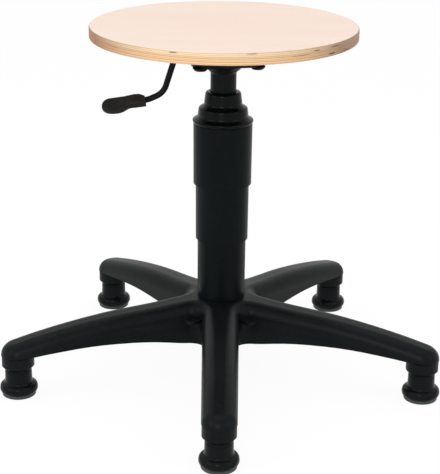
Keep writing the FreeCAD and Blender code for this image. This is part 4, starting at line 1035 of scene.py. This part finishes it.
@dataclass
class ReleaseLever(Assembly):
    """Release lever on its bracket, with raised rings in the dish of its grip.

    The grip starts just outside the bend of the lever's rod, slopes down and is tilted about its own length.
    Its dish is part of a sphere, whose place is given along and across the grip. Angles are in degrees.
    """

    nodes: Finishing = (
        ("lever_bracket", "steel"),
        ("lever_pin", "zinc"),
        ("lever_rod", "steel"),
        ("lever_grip", "grip"),
    )
    bend: Triple = (-99.0 * MM, 0.0, 392.5 * MM)
    grip_start: float = 5.0 * MM
    slope: float = 6.5
    tilt: float = 35.0
    turn: float = 11.0
    dish_place: Span = (40.5 * MM, 2.0 * MM)
    dish_radius: float = 46.0 * MM
    dish_depth: float = 1.6 * MM
    pad_half: float = 4.0 * MM
    ridge_first: float = 2.6 * MM
    ridge_pitch: float = 2.0 * MM
    ridge_count: int = 4
    ridge_half_width: float = 0.42 * MM
    ridge_sides: int = 8
    ridge_steps: int = 56

    def place(self) -> Matrix:
        """Find the grip on the stool.

        Returns:
            Where the grip's own frame is, with its length along X.
        """
        slope = math.radians(self.slope)
        along = Vector((-math.cos(slope), 0.0, -math.sin(slope)))
        start = Matrix.Translation(Vector(self.bend) + along * self.grip_start)
        lean = turned(-self.slope, "Y") @ turned(self.tilt, "X")
        return turned(self.turn) @ start @ lean @ turned(180.0)

    def build_ridge(self, radius: float) -> bpy.types.Object:
        """Model one raised ring that lies in the dish.

        Args:
            radius: The ring's radius.

        Returns:
            The ring.
        """
        Bench.clear()
        centre = self.pad_half - self.dish_depth + self.dish_radius
        height = centre - math.sqrt(self.dish_radius ** 2 - radius ** 2)
        bpy.ops.mesh.primitive_circle_add(
            vertices=self.ridge_sides, radius=self.ridge_half_width, location=(radius, 0.0, 0.0),
            rotation=(math.pi / 2.0, 0.0, 0.0),
        )
        bpy.ops.object.transform_apply(location=True, rotation=True, scale=True)
        bpy.ops.object.mode_set(mode="EDIT")
        bpy.ops.mesh.select_all(action="SELECT")
        bpy.ops.mesh.spin(
            steps=self.ridge_steps, angle=2.0 * math.pi, center=(0.0, 0.0, 0.0), axis=(0.0, 0.0, 1.0)
        )
        bpy.ops.mesh.select_all(action="SELECT")
        bpy.ops.mesh.remove_doubles(threshold=SAME_PLACE)
        bpy.ops.mesh.normals_make_consistent(inside=False)
        bpy.ops.object.mode_set(mode="OBJECT")
        return Bench.settle(self.place() @ Matrix.Translation((*self.dish_place, height)))

    def build(self) -> None:
        """Dress the lever and put the rings on it."""
        super().build()
        radii = [self.ridge_first + self.ridge_pitch * number for number in range(self.ridge_count)]
        rings = [self.build_ridge(radius) for radius in radii]
        add_piece(Bench.join(rings, "grip_thumb_ridges"), "lever", FINISHES["grip"])


@dataclass
class Seat(Assembly):
    """Round plywood seat, screwed to the plate and cone socket that sit on the gas spring."""

    nodes: Finishing = (
        ("cone_socket", "steel"),
        ("seat_plate", "steel"),
        ("seat_screws", "oxide"),
        ("insert_nuts", "brass"),
    )
    board: str = "seat_board"

    def build(self) -> None:
        """Dress the seat's fastenings, and its board in plywood of the board's own size."""
        super().build()
        low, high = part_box(self.board)
        dress(self.board, BeechPly("beech_plywood", low.z, high.z, (high.x - low.x) / 2.0))


@dataclass(frozen=True)
class Lamp:
    """A soft rectangular lamp: its name, place, width and height in metres, and power in watts."""

    name: str
    place: Triple
    size: Span
    power: float

    def hang(self, target: Triple) -> None:
        """Add the lamp to the scene.

        Args:
            target: What it points at.
        """
        data = bpy.data.lights.new(self.name, "AREA")
        data.shape = "RECTANGLE"
        data.size, data.size_y = self.size
        data.energy = self.power
        lamp = bpy.data.objects.new(self.name, data)
        bpy.context.scene.collection.objects.link(lamp)
        aim = (Vector(target) - Vector(self.place)).to_track_quat("-Z", "Y").to_matrix().to_4x4()
        lamp.matrix_world = Matrix.Translation(self.place) @ aim


@dataclass
class Studio:
    """White studio: floor, soft light and the camera at the photograph's angle.

    The frame's size, the focal length and the centre are in pixels, and the camera's two angles in radians.
    """

    frame_width: int = 440
    frame_height: int = 474
    focal_pixels: float = 1397.5
    centre: Span = (221.6, 237.1)
    down: float = 0.342
    roll: float = 0.012
    camera_place: Triple = (0.0, -1.798, 0.836)
    sensor_width: float = 36.0
    nearest: float = 0.05
    farthest: float = 60.0
    ambient: float = 0.62
    floor_radius: float = 6.0
    floor_sides: int = 96
    floor_height: float = -0.2 * MM
    floor_colour: Colour = (0.9, 0.9, 0.9)
    floor_pale: Colour = (0.93, 0.93, 0.93)
    floor_speck: Noise = Noise(3.0)
    floor_glow: float = 1.03
    floor_seen: float = 0.9
    lamp_target: Triple = (0.0, 0.0, 0.25)
    lamps: tuple[Lamp, ...] = (
        Lamp("key_front", (-0.4, -2.7, 1.35), (0.7, 1.3), 17.0),
        Lamp("side_left", (-2.0, -1.3, 1.4), (1.2, 1.4), 9.0),
        Lamp("side_right", (2.0, -1.2, 1.4), (1.2, 1.4), 6.5),
        Lamp("overhead", (0.0, 0.2, 2.6), (1.6, 1.6), 10.5),
    )

    def build_camera(self) -> None:
        """Place the camera and make it the scene's."""
        data = bpy.data.cameras.new("camera")
        size = max(self.frame_width, self.frame_height)
        data.sensor_width = self.sensor_width
        data.sensor_fit = "AUTO"
        data.lens = self.focal_pixels * self.sensor_width / size
        data.clip_start = self.nearest
        data.clip_end = self.farthest
        data.shift_x = -(self.centre[0] - self.frame_width / 2) / size
        data.shift_y = (self.centre[1] - self.frame_height / 2) / size
        camera = bpy.data.objects.new("camera", data)
        bpy.context.scene.collection.objects.link(camera)
        across = Vector((1.0, 0.0, 0.0))
        up = Vector((0.0, math.sin(self.down), math.cos(self.down)))
        ahead = Vector((0.0, math.cos(self.down), -math.sin(self.down)))
        right = across * math.cos(self.roll) + up * math.sin(self.roll)
        over = up * math.cos(self.roll) - across * math.sin(self.roll)
        turn = Matrix((right, over, -ahead)).transposed().to_4x4()
        camera.matrix_world = Matrix.Translation(self.camera_place) @ turn
        bpy.context.scene.camera = camera
        LOG.info("camera of %.1f mm at %s", data.lens, self.camera_place)

    def build_world(self) -> None:
        """Make the world white where it is seen and softer where it lights."""
        world = bpy.data.worlds.new("studio")
        world.use_nodes = True
        bpy.context.scene.world = world
        graph = Graph(world.node_tree)
        strength = self._seen(graph).spread(self.ambient, 1.0)
        background = graph.node("ShaderNodeBackground", None, {"Color": WHITE, "Strength": strength})
        graph.node("ShaderNodeOutputWorld", None, {"Surface": graph.out(background)})

    @staticmethod
    def _seen(graph: Graph) -> Sock:
        """Tell the rays that show the background from those that light.

        Args:
            graph: The graph of the world or the floor.

        Returns:
            1 for rays that show the background and 0 for those that light.
        """
        path = graph.node("ShaderNodeLightPath")
        seen = graph.out(path, "Is Camera Ray").at_least(graph.out(path, "Is Glossy Ray"))
        return seen.at_least(graph.out(path, "Is Transmission Ray"))

    def build_floor(self) -> None:
        """Model the pale floor, white to the eye but for the stool's soft shadow."""
        Bench.clear()
        bpy.ops.mesh.primitive_circle_add(
            vertices=self.floor_sides, radius=self.floor_radius, fill_type="NGON",
            location=(0.0, 0.0, self.floor_height),
        )
        floor = bpy.context.object
        floor.name = "floor"
        material = bpy.data.materials.new("studio_floor")
        material.use_nodes = True
        graph = Graph(material.node_tree)
        pale = graph.mix(graph.noise(self.floor_speck), self.floor_colour, self.floor_pale)
        matt = graph.node("ShaderNodeBsdfDiffuse", None, {"Color": pale})
        glow = graph.node("ShaderNodeEmission", None, {"Color": WHITE, "Strength": self.floor_glow})
        shaders = {0: self._seen(graph) * self.floor_seen, 1: graph.out(matt), 2: graph.out(glow)}
        mixed = graph.node("ShaderNodeMixShader", None, shaders)
        graph.node("ShaderNodeOutputMaterial", None, {"Surface": graph.out(mixed)})
        floor.data.materials.append(material)
        LOG.info("floor laid")

    def build(self) -> None:
        """Set up the camera, world, floor and lamps."""
        self.build_camera()
        self.build_world()
        self.build_floor()
        for lamp in self.lamps:
            lamp.hang(self.lamp_target)
        bpy.context.scene.view_settings.view_transform = "Standard"


def main() -> None:
    """Build the studio and then the stool's sub-assemblies, from the floor up."""
    logging.basicConfig(level=logging.INFO, format="%(name)s: %(message)s")
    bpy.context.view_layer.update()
    Studio().build()
    for part in (StarBase(), GasSpring(), ColumnCover(), ReleaseLever(), Seat()):
        part.build()


if __name__ == "__main__":
    main()
